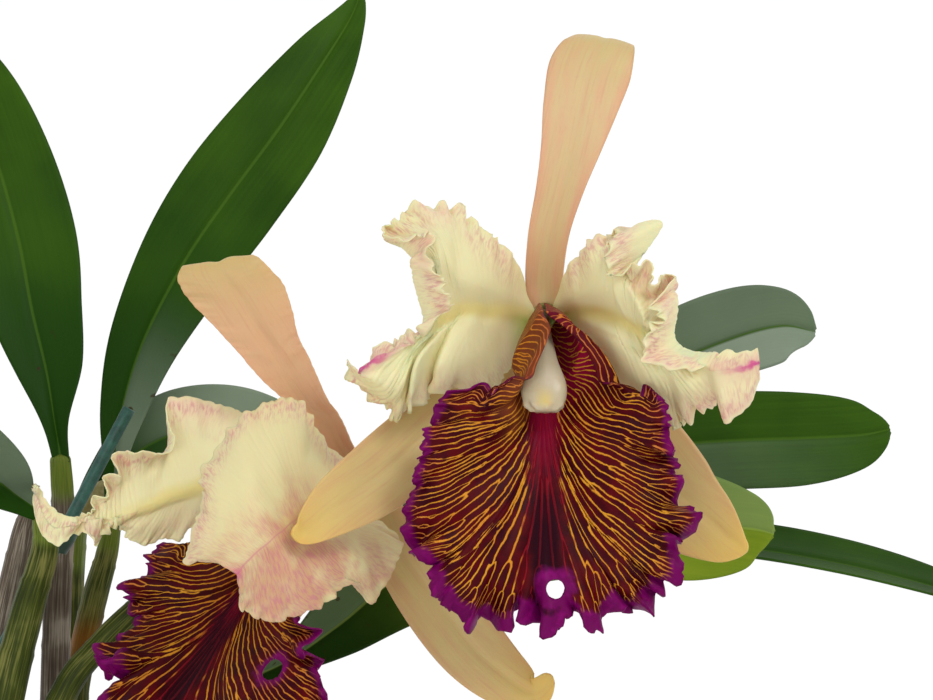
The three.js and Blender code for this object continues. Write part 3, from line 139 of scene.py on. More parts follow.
def putMesh(name, points, faces, uv, values, material, smooth=True):
    # faces is a list of index arrays, each with its own number of corners; where the volume, the sum of
    # a . (b x c), comes out negative, they are turned to face outward
    volume = 0.0
    for block in faces:
        a, b, c = points[block[:, 0]], points[block[:, 1]], points[block[:, 2]]
        volume += np.sum(a * np.cross(b, c))
        if block.shape[1] == 4:
            volume += np.sum(a * np.cross(c, points[block[:, 3]]))
    if volume < 0:
        faces = [block[:, ::-1] for block in faces]
    loops = np.concatenate([block.ravel() for block in faces]).astype(np.int32)
    sizes = np.concatenate([np.full(len(block), block.shape[1]) for block in faces])
    mesh = bpy.data.meshes.new(name)
    mesh.vertices.add(len(points))
    mesh.vertices.foreach_set("co", (points * 0.001).astype(np.float32).ravel())
    mesh.loops.add(len(loops))
    mesh.loops.foreach_set("vertex_index", loops)
    mesh.polygons.add(len(sizes))
    mesh.polygons.foreach_set("loop_start", (np.cumsum(sizes) - sizes).astype(np.int32))
    mesh.polygons.foreach_set("use_smooth", np.full(len(sizes), smooth))
    corners = [uv[block] for block in faces]
    for corner in corners:
        # on a face across a tube's seam the low side goes up by one turn
        around = corner[..., 0]
        around += (np.ptp(around, axis=1, keepdims=True) > 0.5) * (around < 0.5)
    layer = mesh.uv_layers.new(name="UVMap")
    flat = np.concatenate([stack(corner) for corner in corners])
    layer.data.foreach_set("uv", flat.astype(np.float32).ravel())
    for key, value in values.items():
        mesh.attributes.new(key, "FLOAT", "POINT").data.foreach_set(
            "value", np.asarray(value, np.float32).ravel())
    mesh.update(calc_edges=True)
    mesh.validate()
    mesh.materials.append(material)
    piece = bpy.data.objects.new(name, mesh)
    bpy.context.scene.collection.objects.link(piece)
    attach(piece, "root")
    return piece


def closedSheet(name, grid, thickness, uv, values, material, keep=None):
    # the sheet pushed out by half its thickness along its normal to both sides; every edge that only
    # one kept face uses gets a rim face
    rows, columns = grid.shape[:2]
    shift = gridNormals(grid) * (np.broadcast_to(thickness, grid.shape[:2])[..., None] / 2)
    index = np.arange(rows * columns).reshape(rows, columns)
    top = np.stack([index[:-1, :-1], index[:-1, 1:], index[1:, 1:], index[1:, :-1]], -1).reshape(-1, 4)
    if keep is not None:
        top = top[keep.ravel()]
    under = rows * columns
    edges = np.stack([top, np.roll(top, -1, axis=1)], -1).reshape(-1, 2)
    key = edges[:, 0].astype(np.int64) * under + edges[:, 1]
    back = edges[:, 1].astype(np.int64) * under + edges[:, 0]
    rim = edges[~np.isin(key, back)]
    side = np.stack([rim[:, 1], rim[:, 0], rim[:, 0] + under, rim[:, 1] + under], -1)
    faces = [top, top[:, ::-1] + under, side]
    used = np.zeros(2 * under, bool)
    used[np.concatenate([top.ravel(), top.ravel() + under])] = True
    fresh = np.cumsum(used) - 1
    points = np.concatenate([stack(grid + shift), stack(grid - shift)])[used]
    twice = {label: np.tile(np.broadcast_to(value, grid.shape[:2]).ravel(), 2)[used]
             for label, value in values.items()}
    return putMesh(name, points, [fresh[block] for block in faces], np.tile(stack(uv), (2, 1))[used],
                   twice, material)


def closedTube(name, rings, uv, values, material):
    # rings joined in turn, each end closed onto its middle point
    rows, columns = rings.shape[:2]
    index = np.arange(rows * columns).reshape(rows, columns)
    beside = np.roll(index, -1, axis=1)
    wall = np.stack([index[:-1], beside[:-1], beside[1:], index[1:]], -1).reshape(-1, 4)
    first, last = rows * columns, rows * columns + 1
    foot = np.stack([beside[0], index[0], np.full(columns, first)], -1)
    head = np.stack([index[-1], beside[-1], np.full(columns, last)], -1)
    points = np.concatenate([stack(rings), rings[0].mean(0)[None], rings[-1].mean(0)[None]])
    flat = np.concatenate([stack(uv), uv[0].mean(0)[None], uv[-1].mean(0)[None]])
    values = {key: np.concatenate([value.ravel(), value[0, :1], value[-1, :1]])
              for key, value in values.items()}
    return putMesh(name, points, [wall, foot, head], flat, values, material)


def blade(name, piece, settings, material):
    # P(u,v) = centre(u) + right(u) sign(v) out + face(u) (lift - rib); a half of width w bends on
    # an arc of angle b, so out = w sin(b|v|) / b and lift = w (1 - cos(b|v|)) / b
    u = np.linspace(0, 1, steps(settings["length"]))[:, None]
    v = np.linspace(-1, 1, steps(settings["width"]) // 2 * 2 + 1)[None, :]
    rows = trackRows(piece["stations"], u)
    point, right, face = frameAlong(piece["stations"], u, piece["face"], rows[..., 5])
    part = np.abs(v)
    onRight = v > 0
    width = np.where(onRight, rows[..., 4], rows[..., 3])
    end = ((u - settings["tip"]) / (1.002 - settings["tip"])).clip(0)
    width = width * np.sqrt(np.clip(1 - end ** 2, 0, 1))
    bend = np.radians(np.where(onRight, rows[..., 7], rows[..., 6]))
    bend = np.where(np.abs(bend) < 1e-3, 1e-3, bend)
    out = width * np.sin(bend * part) / bend
    lift = width * (1 - np.cos(bend * part)) / bend
    middle = trackRows(piece["stations"], np.linspace(0, 1, 60))[:, :3]
    span = np.linalg.norm(np.diff(middle, axis=0), axis=1).sum()
    if "rib" in settings:
        near = np.exp(-(width * part / settings["ribWidth"]) ** 2)
        lift = lift - settings["rib"] * near * easeStep(0, 0.1, u)
    grid = point + right * (np.sign(v) * out)[..., None] + face * lift[..., None]
    thick = settings["thick"] * (1 - 0.55 * part ** 3) + 0 * u
    uv = np.stack(np.broadcast_arrays(v + 0 * u, u + 0 * v), -1)
    values = {"side": width * v + 0 * u, "rim": width * (1 - part), "run": span * u + 0 * v}
    # the painted sheen: a pale overlay standing in for the bright room's reflection, per half and along the
    # leaf
    low, high, first, last = piece.get("paintedSheen", (0, 0, 0, 1))
    fading = 1 - easeStep(first, last, u) if first < last else easeStep(last, first, u)
    values["paintedSheen"] = np.where(onRight, high, low) * fading * easeStep(0, 0.05, part)
    values["blushAndShade"] = piece.get("blushAndShade", 0) + 0 * u * v
    return closedSheet(name, grid, thick, uv, values, material)


def foldedSheet(name, part, settings, seed, material):
    # a sheet that folds over itself: Catmull-Rom along the rows of points and then across them, pushed
    # along the normal by ripples that fade with the distance r from the rim as exp(-(r/depth)^2)
    if "seen" in part:
        net = seenPoints(part["seen"])
    else:
        net = seenStrip(part["left"], part["right"], part["depth"], part["bow"])
    along = np.linspace(0, 1, steps(settings["length"]))
    across = np.linspace(0, 1, steps(settings["width"]) // 2 * 2 + 1)
    flat = trackRows(net.reshape(len(net), -1), along).reshape(len(along), net.shape[1], 3)
    grid = trackRows(flat.transpose(1, 0, 2).reshape(net.shape[1], -1), across)
    grid = grid.reshape(len(across), len(along), 3).transpose(1, 0, 2)
    u = along[:, None] + 0 * across
    middle = len(across) // 2
    arc = arcFrom(grid, 1, True)
    side = arc - arc[:, middle:middle + 1]
    rim = np.where(side < 0, arc, arc[:, -1:] - arc)
    sixth = middle // 3
    first, second = arcFrom(grid, 0, True)[:, sixth], arcFrom(grid, 0, True)[:, -1 - sixth]
    run = np.where(side < 0, first[:, None], second[:, None] + 400)
    strength = np.array(part["ruffle"])[[0, 1, 2, 2, 3]]
    grow = easeStep(0.03, 0.2, u) * np.interp(u, (0.2, 0.5, 0.62, 0.78, 0.86), strength)
    shift = -settings["rib"] * np.exp(-(side / settings["ribWidth"]) ** 2) * easeStep(0, 0.1, u)
    slide = 0 * u
    for amount, wavelength, depth, number in settings["ruffles"]:
        near = amount * grow * np.exp(-(rim / depth) ** 2)
        shift = shift + near * ripple(run + 0.3 * rim, wavelength, number + seed)
        slide = slide + 0.5 * near * ripple(run + 7, wavelength * 0.8, number + seed + 50)
    outward = unit(np.gradient(grid, axis=1)) * np.sign(side)[..., None]
    grid = grid + gridNormals(grid) * shift[..., None] + outward * slide[..., None]
    thick = settings["thick"] * (0.55 + 0.45 * easeStep(0, 6, rim))
    uv = np.stack([0.5 + side / 120, u], -1)
    values = {"side": side, "rim": rim, "run": run,
              "blushAndShade": part["blushAndShade"] + 0 * u, "mark": part["mark"] + 0 * u}
    return closedSheet(name, grid, thick, uv, values, material)


def limbRings(rows, facing, count, sides, swell=None):
    # P(u,a) = centre(u) + right cos(a) w(u) + face sin(a) d(u), each radius times 1 + swell(u,a)
    u = np.linspace(0, 1, count)[:, None]
    a = np.linspace(0, 2 * math.pi, sides, endpoint=False)[None, :]
    row = trackRows(rows, u)
    point, right, face = frameAlong(rows, u, facing)
    more = 1 + (swell(u, a) if swell else 0 * u * a)
    rings = (point + right * (np.cos(a) * row[..., 3] * more)[..., None]
             + face * (np.sin(a) * row[..., 4] * more)[..., None])
    uv = np.stack(np.broadcast_arrays(a / (2 * math.pi) + 0 * u, u + 0 * a), -1)
    return rings, uv, u, a


def tint(red, green, blue):
    # a screen colour as the linear light that a shader takes
    def line(c):
        return c / 12.92 if c <= 0.04045 else ((c + 0.055) / 1.055) ** 2.4
    return (line(red), line(green), line(blue), 1.0)


class Field:
    # one socket of a shader tree; arithmetic on it adds Math nodes
    def __init__(self, tree, socket=None):
        self.tree = tree
        self.socket = socket

    def node(self, kind, settings=None, inputs=None, output=0):
        # a new node with its settings and inputs, as the field of one of its outputs
        made = self.tree.nodes.new("ShaderNode" + kind)
        for key, value in (settings or {}).items():
            setattr(made, key, value)
        for key, value in (inputs or {}).items():
            if isinstance(value, Field):
                self.tree.links.new(value.socket, made.inputs[key])
            else:
                made.inputs[key].default_value = value
        return Field(self.tree, made.outputs[output])

    def calc(self, operation, *values):
        # one Math node
        return self.node("Math", {"operation": operation}, dict(enumerate(values)))

    def __add__(self, other):
        return self.calc("ADD", self, other)

    def __sub__(self, other):
        return self.calc("SUBTRACT", self, other)

    def __rsub__(self, other):
        return self.calc("SUBTRACT", other, self)

    def __mul__(self, other):
        return self.calc("MULTIPLY", self, other)

    def __truediv__(self, other):
        return self.calc("DIVIDE", self, other)

    def __neg__(self):
        return self.calc("MULTIPLY", self, -1.0)

    __radd__ = __add__
    __rmul__ = __mul__

    def fade(self, low, high):
        # smooth step of this value from 0 at low to 1 at high
        return self.node("MapRange", {"interpolation_type": "SMOOTHSTEP"},
                         {"Value": self, "From Min": low, "From Max": high})

    def mix(self, first, second):
        # the first colour where this value is 0 and the second where it is 1
        return self.node("Mix", {"data_type": "RGBA"}, {0: self, 6: first, 7: second}, 2)

    def attribute(self, name):
        # a value kept on the mesh's points
        return self.node("Attribute", {"attribute_name": name}, {}, 2)

    def uv(self):
        return self.node("UVMap", {"uv_map": "UVMap"})

    def part(self, axis):
        # one number out of a vector
        return self.node("SeparateXYZ", {}, {0: self}, axis)

    def place(self, x, y, z=0.0):
        # a vector from three numbers
        return self.node("CombineXYZ", {}, {0: x, 1: y, 2: z})

    def noise(self, scale, detail=2.0, where=None):
        # fractal noise at the object's own coordinates, or at another place
        spot = where or self.node("TexCoord", {}, {}, 3)
        return self.node("TexNoise", {}, {"Vector": spot, "Scale": scale, "Detail": detail})

    def bump(self, height, distance):
        # a normal tilted by this height, which spans so many metres
        return self.node("Bump", {}, {"Height": height, "Distance": distance})


def finish(name, constants, recipe):
    # a Principled material: constants sit on its sockets, and the recipe returns what varies
    material = bpy.data.materials.new(name)
    material.use_nodes = True
    tree = material.node_tree
    shader = tree.nodes["Principled BSDF"]
    for key, value in constants.items():
        shader.inputs[key].default_value = value
    for key, field in recipe(Field(tree)).items():
        tree.links.new(field.socket, shader.inputs[key])
    return material


# leaves
leafSettings = {"length": 92, "width": 24, "tip": 0.965, "thick": 1.5,
                "rib": 0.9, "ribWidth": 1.2, "sink": 4}
# in each look the foot colour is painted shade near the leaf's foot, and the last colour a pale painted sheen
# for the bright room's reflection
leafColours = {
    "darkLeaf": {"deep": tint(0.13, 0.25, 0.02), "light": tint(0.22, 0.36, 0.05),
                 "rib": tint(0.32, 0.46, 0.12), "foot": tint(0.11, 0.25, 0.02),
                 "paintedSheen": tint(0.56, 0.62, 0.54)},
    # the young leaf's paler yellow-greens: partly its own colour and partly painted light shining through it
    "youngLeaf": {"deep": tint(0.34, 0.46, 0.07), "light": tint(0.48, 0.56, 0.13),
                  "rib": tint(0.60, 0.70, 0.34), "foot": tint(0.10, 0.22, 0.03),
                  "paintedSheen": tint(0.56, 0.66, 0.50)},
}
# a pale painted sheen on each half, standing in for the bright room's reflection: left, right, and where
# along the leaf it starts and ends fading
leafPaintedSheen = {"leaf_2": (0.0, 0.45, 0.5, 1.2), "leaf_3": (0.0, 0.6, 0.16, 0.42), "leaf_4": (0.9, 0.1, 0.6, 0.2),
           "leaf_5": (0.5, 0.95, 0.9, 1.5), "leaf_6": (0.0, 0.3, 0.35, 0.95), "leaf_7": (0.3, 0.0, 0.9, 1.5)}


def leafRecipe(colours):
    # deep to light green by noise, the foot's darker colour (painted shade) and the rib's own colour, then a
    # pale painted sheen by its own amount (a painted reflection of the bright room), then spots near the foot
    def recipe(f):
        side = f.attribute("side")
        run = f.attribute("run")
        u = f.uv().part(1)
        broad = f.noise(22.0, 3.0)
        along = f.place(side * 0.9, run * 0.02)
        streak = f.noise(1.0, 3.0, along)
        tone = (broad * 1.1 + streak * 0.3 - 0.35).fade(0.0, 0.65)
        green = tone.mix(colours["deep"], colours["light"])
        # darker towards the foot: painted shade where the leaf's lower part lies in shade
        green = (u + broad * 0.2).fade(0.35, 0.8).mix(colours["foot"], green)
        rib = 1 - f.calc("ABSOLUTE", side).fade(0.25, 0.9)
        colour = (rib * 0.4).mix(green, colours["rib"])
        # pale painted sheen, standing in for the reflection of the bright room
        paintedSheen = f.attribute("paintedSheen") * (0.7 + f.noise(35.0, 3.0) * 0.5)
        colour = paintedSheen.mix(colour, colours["paintedSheen"])
        spots = (f.noise(240.0, 1.0).fade(0.72, 0.76)) * (1 - u.fade(0.2, 0.45))
        colour = (spots * 0.8).mix(colour, tint(0.22, 0.12, 0.06))
        lines = f.calc("SINE", side * 5.2) * 0.12 + streak * 0.4
        return {"Base Color": colour,
                "Roughness": streak * 0.12 + broad * 0.1 + 0.40,
                "Normal": f.bump(lines + f.noise(900.0, 2.0) * 0.3, 0.00004)}
    return recipe


leafLooks = {key: finish(key, {"Specular IOR Level": 0.09},
                         leafRecipe(colours)) for key, colours in leafColours.items()}
leaves = {
  "leaf_1": { "face": [0.15, -1, 0.1], "look": "darkLeaf", "stations": [
    [0, 14, 291, 2.8, 2.8, 0, 60, 60], [-2, 16, 300, 4.3, 5, 0, 50, 50],
    [-6, 21, 318, 10, 13, 0, 30, 30], [-12, 26, 339, 14.5, 17.5, 0, 22, 22],
    [-17, 30, 361, 17.5, 19.7, 0, 18, 18], [-24, 33, 385, 18, 19, 0, 16, 16],
    [-33, 37, 409, 15.5, 16, 0, 16, 16], [-41, 40, 427, 9.7, 10.3, 0, 16, 16],
    [-46, 42, 438, 2.2, 2.2, 0, 12, 12]] },
  "leaf_2": { "face": [-0.15, -1, 0.1], "look": "darkLeaf", "stations": [
    [-0.6, -14.8, 274, 2.8, 2.8, 0, 40, 40], [-6, -21, 279, 6, 6.5, 0, 30, 30],
    [-11, -32, 285, 12, 12, 0, 20, 20], [-20, -47, 291, 17, 17, 0, 15, 15],
    [-31, -62, 297, 19, 19, 0, 12, 12], [-48, -76, 299, 17, 17, 0, 12, 12],
    [-66, -88, 297, 12, 12, 0, 12, 12], [-79, -96, 293, 3, 3, 0, 8, 8]] },
  "leaf_3": { "face": [0.1, -1, 0.1], "look": "darkLeaf", "stations": [
    [14, 35, 267, 2.6, 2.6, 0, 60, 60], [14, 37, 284, 3.9, 4.2, 0, 50, 50],
    [16, 40, 304, 7.6, 9, 0, 35, 35], [23, 43, 328, 12, 13.2, 0, 25, 25],
    [37, 46, 356, 16.2, 17.4, 0, 20, 20], [52, 50, 379, 18.4, 18.9, 0, 18, 18],
    [69, 54, 403, 17, 17.6, 0, 16, 16], [84, 60, 427, 12.1, 12.1, 0, 20, 20],
    [93, 66, 443, 6.4, 6, 0, 24, 24], [97, 72, 454, 1.6, 1.6, 0, 20, 20]] },
  "leaf_4": { "face": [0, -1, 0.25], "look": "darkLeaf", "stations": [
    [-3, 65, 267, 2.8, 2.8, 0, 40, 40], [5, 67, 279, 6.6, 7.9, 0, 30, 30],
    [16, 70, 288, 12.2, 13.7, 0, 22, 22], [31, 74, 295, 16, 16.7, 0, 10, 10],
    [51, 76, 296, 16, 16.7, 0, 10, 10], [71, 77, 290, 12.6, 13.1, 0, 14, 14],
    [84, 77, 282, 6.4, 6.5, 0, 14, 14], [90, 76, 276, 1.8, 1.8, 0, 10, 10]] },
  "leaf_5": { "face": [0, -1, 0.2], "look": "darkLeaf", "stations": [
    [63, 45, 252, 2.8, 2.8, 0, 40, 40], [87, 50, 260, 7, 7, 0, 30, 30],
    [122, 58, 274, 12, 12, 0, 22, 22], [161, 62, 296, 15, 15, 0, 20, 20],
    [197, 65, 315, 17, 14.6, 0, 20, 20], [227, 66, 328, 18, 14.6, 0, 20, 20],
    [247, 66, 333.5, 14.4, 13.4, 0, 20, 20], [260, 66, 331.5, 4, 4, 0, 14, 14]] },
  "leaf_6": { "face": [0, -1, 0.1], "look": "darkLeaf", "stations": [
    [49, -8, 258, 2.6, 2.6, 0, 40, 40], [74, 4, 264, 7.2, 7.2, 0, 30, 30],
    [106, 17, 273, 11.6, 12.5, 0, 20, 20], [146, 24, 283, 15, 15.3, 0, 16, 16],
    [186, 28, 291, 16.8, 16.3, 0, 14, 14], [222, 31, 294, 16.8, 16.8, 0, 12, 12],
    [250, 32, 295, 15.5, 16.2, 0, 12, 12], [269, 32, 296, 11.6, 11.6, 0, 10, 10],
    [279.5, 32, 298, 3.4, 3.4, 0, 6, 6]] },
  "leaf_7": { "face": [0, -1, 0.1], "look": "youngLeaf", "stations": [
    [69, -5, 221, 2.4, 2.4, 0, 40, 40], [78, -4, 225, 5.2, 5.2, 0, 35, 35],
    [94, 0, 236, 11.1, 11.1, 0, 26, 26], [118, 6, 254, 18, 18, 0, 16, 16],
    [156, 10, 267, 19.1, 19.1, 0, 12, 12], [189, 12, 269, 19.2, 19.2, 0, 10, 10],
    [212, 12, 267, 17.6, 18.3, 0, 10, 10], [229, 10, 266, 11.5, 12.9, 0, 8, 8],
    [236, 8, 264.5, 3.2, 3.2, 0, 4, 4]] },
  "leaf_8": { "face": [0, -0.35, 1], "look": "darkLeaf", "stations": [
    [85.2, 20, 226.2, 2.5, 2.5, 0, 50, 50], [111, 27, 242, 6, 6, 0, 46, 46],
    [146, 34, 254, 11, 11, 0, 40, 40], [187, 38, 259, 14, 14, 0, 34, 34],
    [228, 38, 257, 15, 15, 0, 30, 30], [262, 35, 252, 14.5, 14.5, 0, 26, 26],
    [292, 31, 245, 11.5, 11.5, 0, 22, 22], [310, 28, 239, 6.5, 6.5, 0, 18, 18],
    [318, 26, 236, 1.8, 1.8, 0, 14, 14]] },
}
for name, leaf in leaves.items():
    # each leaf's foot runs a little down into its cane
    first, second = np.array(leaf["stations"][0], float), np.array(leaf["stations"][1], float)
    first[:3] += unit(first[:3] - second[:3]) * leafSettings["sink"]
    leaf["stations"][0] = list(first)
    # each leaf's painted sheen, a pale overlay for the room's reflection
    leaf["paintedSheen"] = leafPaintedSheen.get(name, (0, 0, 0, 1))
    piece = blade(name + "_fine", leaf, leafSettings, leafLooks[leaf["look"]])
    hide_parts(name)
print("leaves made:", len(leaves))


# canes
caneSettings = {"rings": 110, "sides": 34, "nodeSpacing": 27, "ring": 0.05, "ringWidth": 1.1,
                "dip": 0.03, "grooves": 9, "groove": 0.018, "amberHeight": 225, "amberReach": 7}
caneColours = {
    "greenCane": [tint(0.12, 0.16, 0.02), tint(0.31, 0.35, 0.08), tint(0.50, 0.49, 0.27)],
    "paperCane": [tint(0.24, 0.19, 0.16), tint(0.50, 0.45, 0.38), tint(0.66, 0.62, 0.56)],
}


def caneRecipe(colours):
    # green by streaks along the cane and patches, then dry and amber patches, then the young green of
    # the stretch below the leaf
    def recipe(f):
        around = f.uv().part(0)
        run = f.attribute("run")
        turn = around * (2 * math.pi)
        thread = f.place(f.calc("SINE", turn) * 9.0, f.calc("COSINE", turn) * 9.0, run * 0.05)
        streak = f.noise(1.0, 4.0, thread)
        patch = f.noise(60.0, 3.0)
        green = (streak * 1.1 + patch * 0.5 - 0.3).fade(0.15, 0.85).mix(colours[0], colours[1])
        dry = (patch * 0.8 + streak * 0.7).fade(0.72, 0.95)
        colour = (dry * 0.75).mix(green, colours[2])
        colour = (f.attribute("amber") * (patch * 0.7 + 0.4)).mix(colour, tint(0.60, 0.37, 0.08))
        fresh = (f.attribute("top") + patch * 8.0).fade(22.0, 32.0)
        young = (streak * 1.1).fade(0.2, 0.8).mix(tint(0.26, 0.33, 0.07), tint(0.44, 0.50, 0.18))
        colour = (1 - fresh).mix(colour, young)
        return {"Base Color": colour, "Roughness": dry * 0.3 + 0.45,
                "Normal": f.bump(streak + f.noise(500.0, 3.0) * 0.3, 0.0003)}
    return recipe


caneLooks = {key: finish(key, {"Specular IOR Level": 0.15}, caneRecipe(colours))
             for key, colours in caneColours.items()}
canes = {
  "pseudobulb_1": { "look": "paperCane", "stations": [
    [-2, 16, 131, 5, 5], [-2, 17, 165, 6.2, 6.2], [-2, 16, 208, 5, 5],
    [-1, 15, 242, 4.6, 4.6], [1, 14, 270, 4, 4], [0.1, 13.9, 290.4, 3.4, 3.2]] },
  "pseudobulb_2": { "look": "greenCane", "stations": [
    [-25, -24, 131, 5.5, 5.5], [-19, -22, 172, 7.2, 7], [-11, -18, 214, 6, 5.8],
    [-4, -16, 243, 5.2, 5], [1, -14.6, 261, 4.4, 4.2], [0.6, -14, 272, 3.6, 3.2]] },
  "pseudobulb_3": { "look": "paperCane", "stations": [
    [-38, 6, 131, 5, 5], [-30, 7, 178, 5.8, 5.8], [-18, 6, 230, 4.6, 4.6],
    [-12, 6, 258, 3.9, 3.9], [-9, 5, 270, 3, 3], [-6, 3, 275, 1.8, 1.8]] },
  "pseudobulb_4": { "look": "greenCane", "stations": [
    [-6, 40, 131, 5, 5], [-4, 40, 168, 5.8, 5.8], [1, 38, 210, 4.6, 4.6],
    [7, 36, 238, 4.4, 4.4], [11.5, 35.2, 254, 3.8, 3.8], [13.9, 35, 266.4, 2.9, 2.9]] },
  "pseudobulb_5": { "look": "greenCane", "stations": [
    [2, 62, 131, 5, 5], [-3, 64, 166, 6, 6], [-7, 64, 204, 4.8, 5],
    [-6, 63, 238, 4.4, 5], [-3.8, 62, 265.2, 4, 7]] },
  "pseudobulb_6": { "look": "greenCane", "stations": [
    [-14, -8, 131, 5, 5], [-8, -8, 172, 5.8, 5.8], [5, -8, 213, 4.6, 4.6],
    [17, -8, 230, 4, 4], [31, -8.2, 243.6, 3.6, 3.6], [47.8, -8.4, 256.8, 2.8, 2.8]] },
  "pseudobulb_7": { "look": "paperCane", "stations": [
    [37, -14, 131, 5, 5], [44, -12, 168, 6, 6], [53, -9, 200, 4.6, 4.6],
    [60, -7, 214, 3.4, 3.4], [68.5, -5.3, 220.4, 2.5, 2.5]] },
  "pseudobulb_8": { "look": "greenCane", "stations": [
    [30, 42, 131, 5, 5], [36, 43, 166, 6, 6], [45, 45, 203, 4.6, 4.6],
    [53, 45, 228, 4, 4], [61.6, 44.8, 250, 3.1, 3.1]] },
  "pseudobulb_9": { "look": "paperCane", "stations": [
    [54, 16, 131, 5, 5], [57, 17, 166, 6, 6], [63, 18, 194, 4.6, 4.6],
    [72.5, 20, 209.4, 3.8, 3.8], [78, 20, 217, 3.4, 3.4], [84.6, 20, 225.6, 2.6, 2.6]] },
}
for seed, (name, cane) in enumerate(canes.items()):
    length = np.linalg.norm(np.diff(np.array(cane["stations"])[:, :3], axis=0), axis=1).sum()

    def caneSwell(u, a, length=length, seed=seed):
        # a raised ring at each joint, fine grooves along that turn slowly round, and a rounded top
        place = u * length / caneSettings["nodeSpacing"] + 0.37 * seed
        place = place - np.round(place)
        ring = caneSettings["ring"] * np.exp(
            -(place * caneSettings["nodeSpacing"] / caneSettings["ringWidth"]) ** 2)
        ring = ring - caneSettings["dip"] * np.exp(-(place * 9 - 1) ** 2)
        count = caneSettings["grooves"]
        groove = np.cos(count * a + 3 * u + seed) + 0.6 * np.cos((2 * count + 3) * a)
        ends = easeStep(0, 0.03, u) * easeStep(0, 0.03, 1 - u)
        dome = np.sqrt(np.clip(1 - ((u - 0.985) / 0.0152).clip(0) ** 2, 0.04, 1)) - 1
        return dome + (ring + caneSettings["groove"] * groove) * ends

    rings, uv, u, a = limbRings(cane["stations"], [0.05, -1, 0], steps(caneSettings["rings"]),
                                steps(caneSettings["sides"]), caneSwell)
    height = (rings[..., 2] - caneSettings["amberHeight"]) / caneSettings["amberReach"]
    amber = np.exp(-height ** 2) * (name == "pseudobulb_4")
    piece = closedTube(name + "_fine", rings, uv,
                       {"run": length * u + 0 * a, "top": length * (1 - u) + 0 * a, "amber": amber},
                       caneLooks[cane["look"]])
    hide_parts(name)
print("canes made:", len(canes))


# blooms: sepals and petals
sepalSettings = {"length": 90, "width": 26, "tip": 0.97, "thick": 1.1, "rib": 0.35, "ribWidth": 1.6}
petalSettings = {"length": 220, "width": 90, "thick": 0.7, "rib": 0.5, "ribWidth": 2.0,
                 "ruffles": [(0.5, 17, 12, 1), (0.8, 8, 7, 2), (0.6, 4.2, 4, 3), (0.3, 2.3, 2.6, 4),
                             (0.1, 1.9, 40, 5)]}
sepalColours = {
    "apricotSepal": [tint(0.84, 0.74, 0.54), tint(0.86, 0.68, 0.53),
                     tint(0.73, 0.67, 0.38), tint(0.88, 0.70, 0.54)],
    "goldSepal": [tint(0.83, 0.74, 0.50), tint(0.82, 0.68, 0.48),
                  tint(0.88, 0.74, 0.34), tint(0.83, 0.65, 0.47)],
}


def sepalRecipe(colours):
    # base colour to rosy by drifting noise, then blush, then the tip's colour, then thin veins and flecks
    def recipe(f):
        side = f.attribute("side")
        run = f.attribute("run")
        rim = f.attribute("rim")
        u = f.uv().part(1)
        drift = f.noise(1.0, 2.0, f.place(side * 0.3, run * 0.05))
        thread = f.noise(1.0, 4.0, f.place(side * 1.5, run * 0.05))
        fleck = f.noise(1.0, 3.0, f.place(side * 1.6, run * 0.35))
        rosy = (drift * 1.4 - 0.3 + (1 - rim.fade(0.5, 5.0)) * 0.35).fade(0.2, 0.9)
        body = rosy.mix(colours[0], colours[1])
        body = (f.attribute("blushAndShade") * 0.8).mix(body, colours[3])
        end = (u + f.attribute("blushAndShade") * 0.15).fade(0.55, 0.98)
        body = (end * 0.75).mix(body, colours[2])
        vein = thread.fade(0.5, 0.7)
        colour = (vein * 0.22).mix(body, tint(0.80, 0.54, 0.44))
        colour = (fleck.fade(0.58, 0.75) * 0.16 * (1 - end)).mix(colour, tint(0.80, 0.46, 0.44))
        return {"Base Color": colour, "Roughness": thread * 0.12 + 0.42,
                "Normal": f.bump(thread * 0.6 + f.noise(1100.0, 2.0) * 0.6, 0.00006)}
    return recipe


petalColours = {"cream": tint(0.91, 0.885, 0.69), "warm": tint(0.86, 0.80, 0.44),
                "flush": tint(0.91, 0.77, 0.67), "pink": tint(0.80, 0.50, 0.53),
                "mark": tint(0.78, 0.14, 0.52)}
# each petal's ruffles at four places from its foot to its tip, its flush (on the second bloom's near petal
# partly painted shade), and the mark at its tip
petalTraits = {"bloom1_petal_left": ((1.0, 1.0, 1.0, 0.9), 0.0, 1.0),
               "bloom1_petal_right": ((1.0, 1.0, 1.1, 0.2), 0.0, 1.0),
               "bloom2_petal_right": ((0.5, 0.5, 0.6, 0.5), 1.0, 0.5),
               "bloom2_petal_left": ((0.4, 0.5, 1.5, 0.4), 0.0, 0.0),
               "bloom2_dorsal_sepal": ((0.1, 0.1, 0.15, 0.1), 1.0, 0.0)}


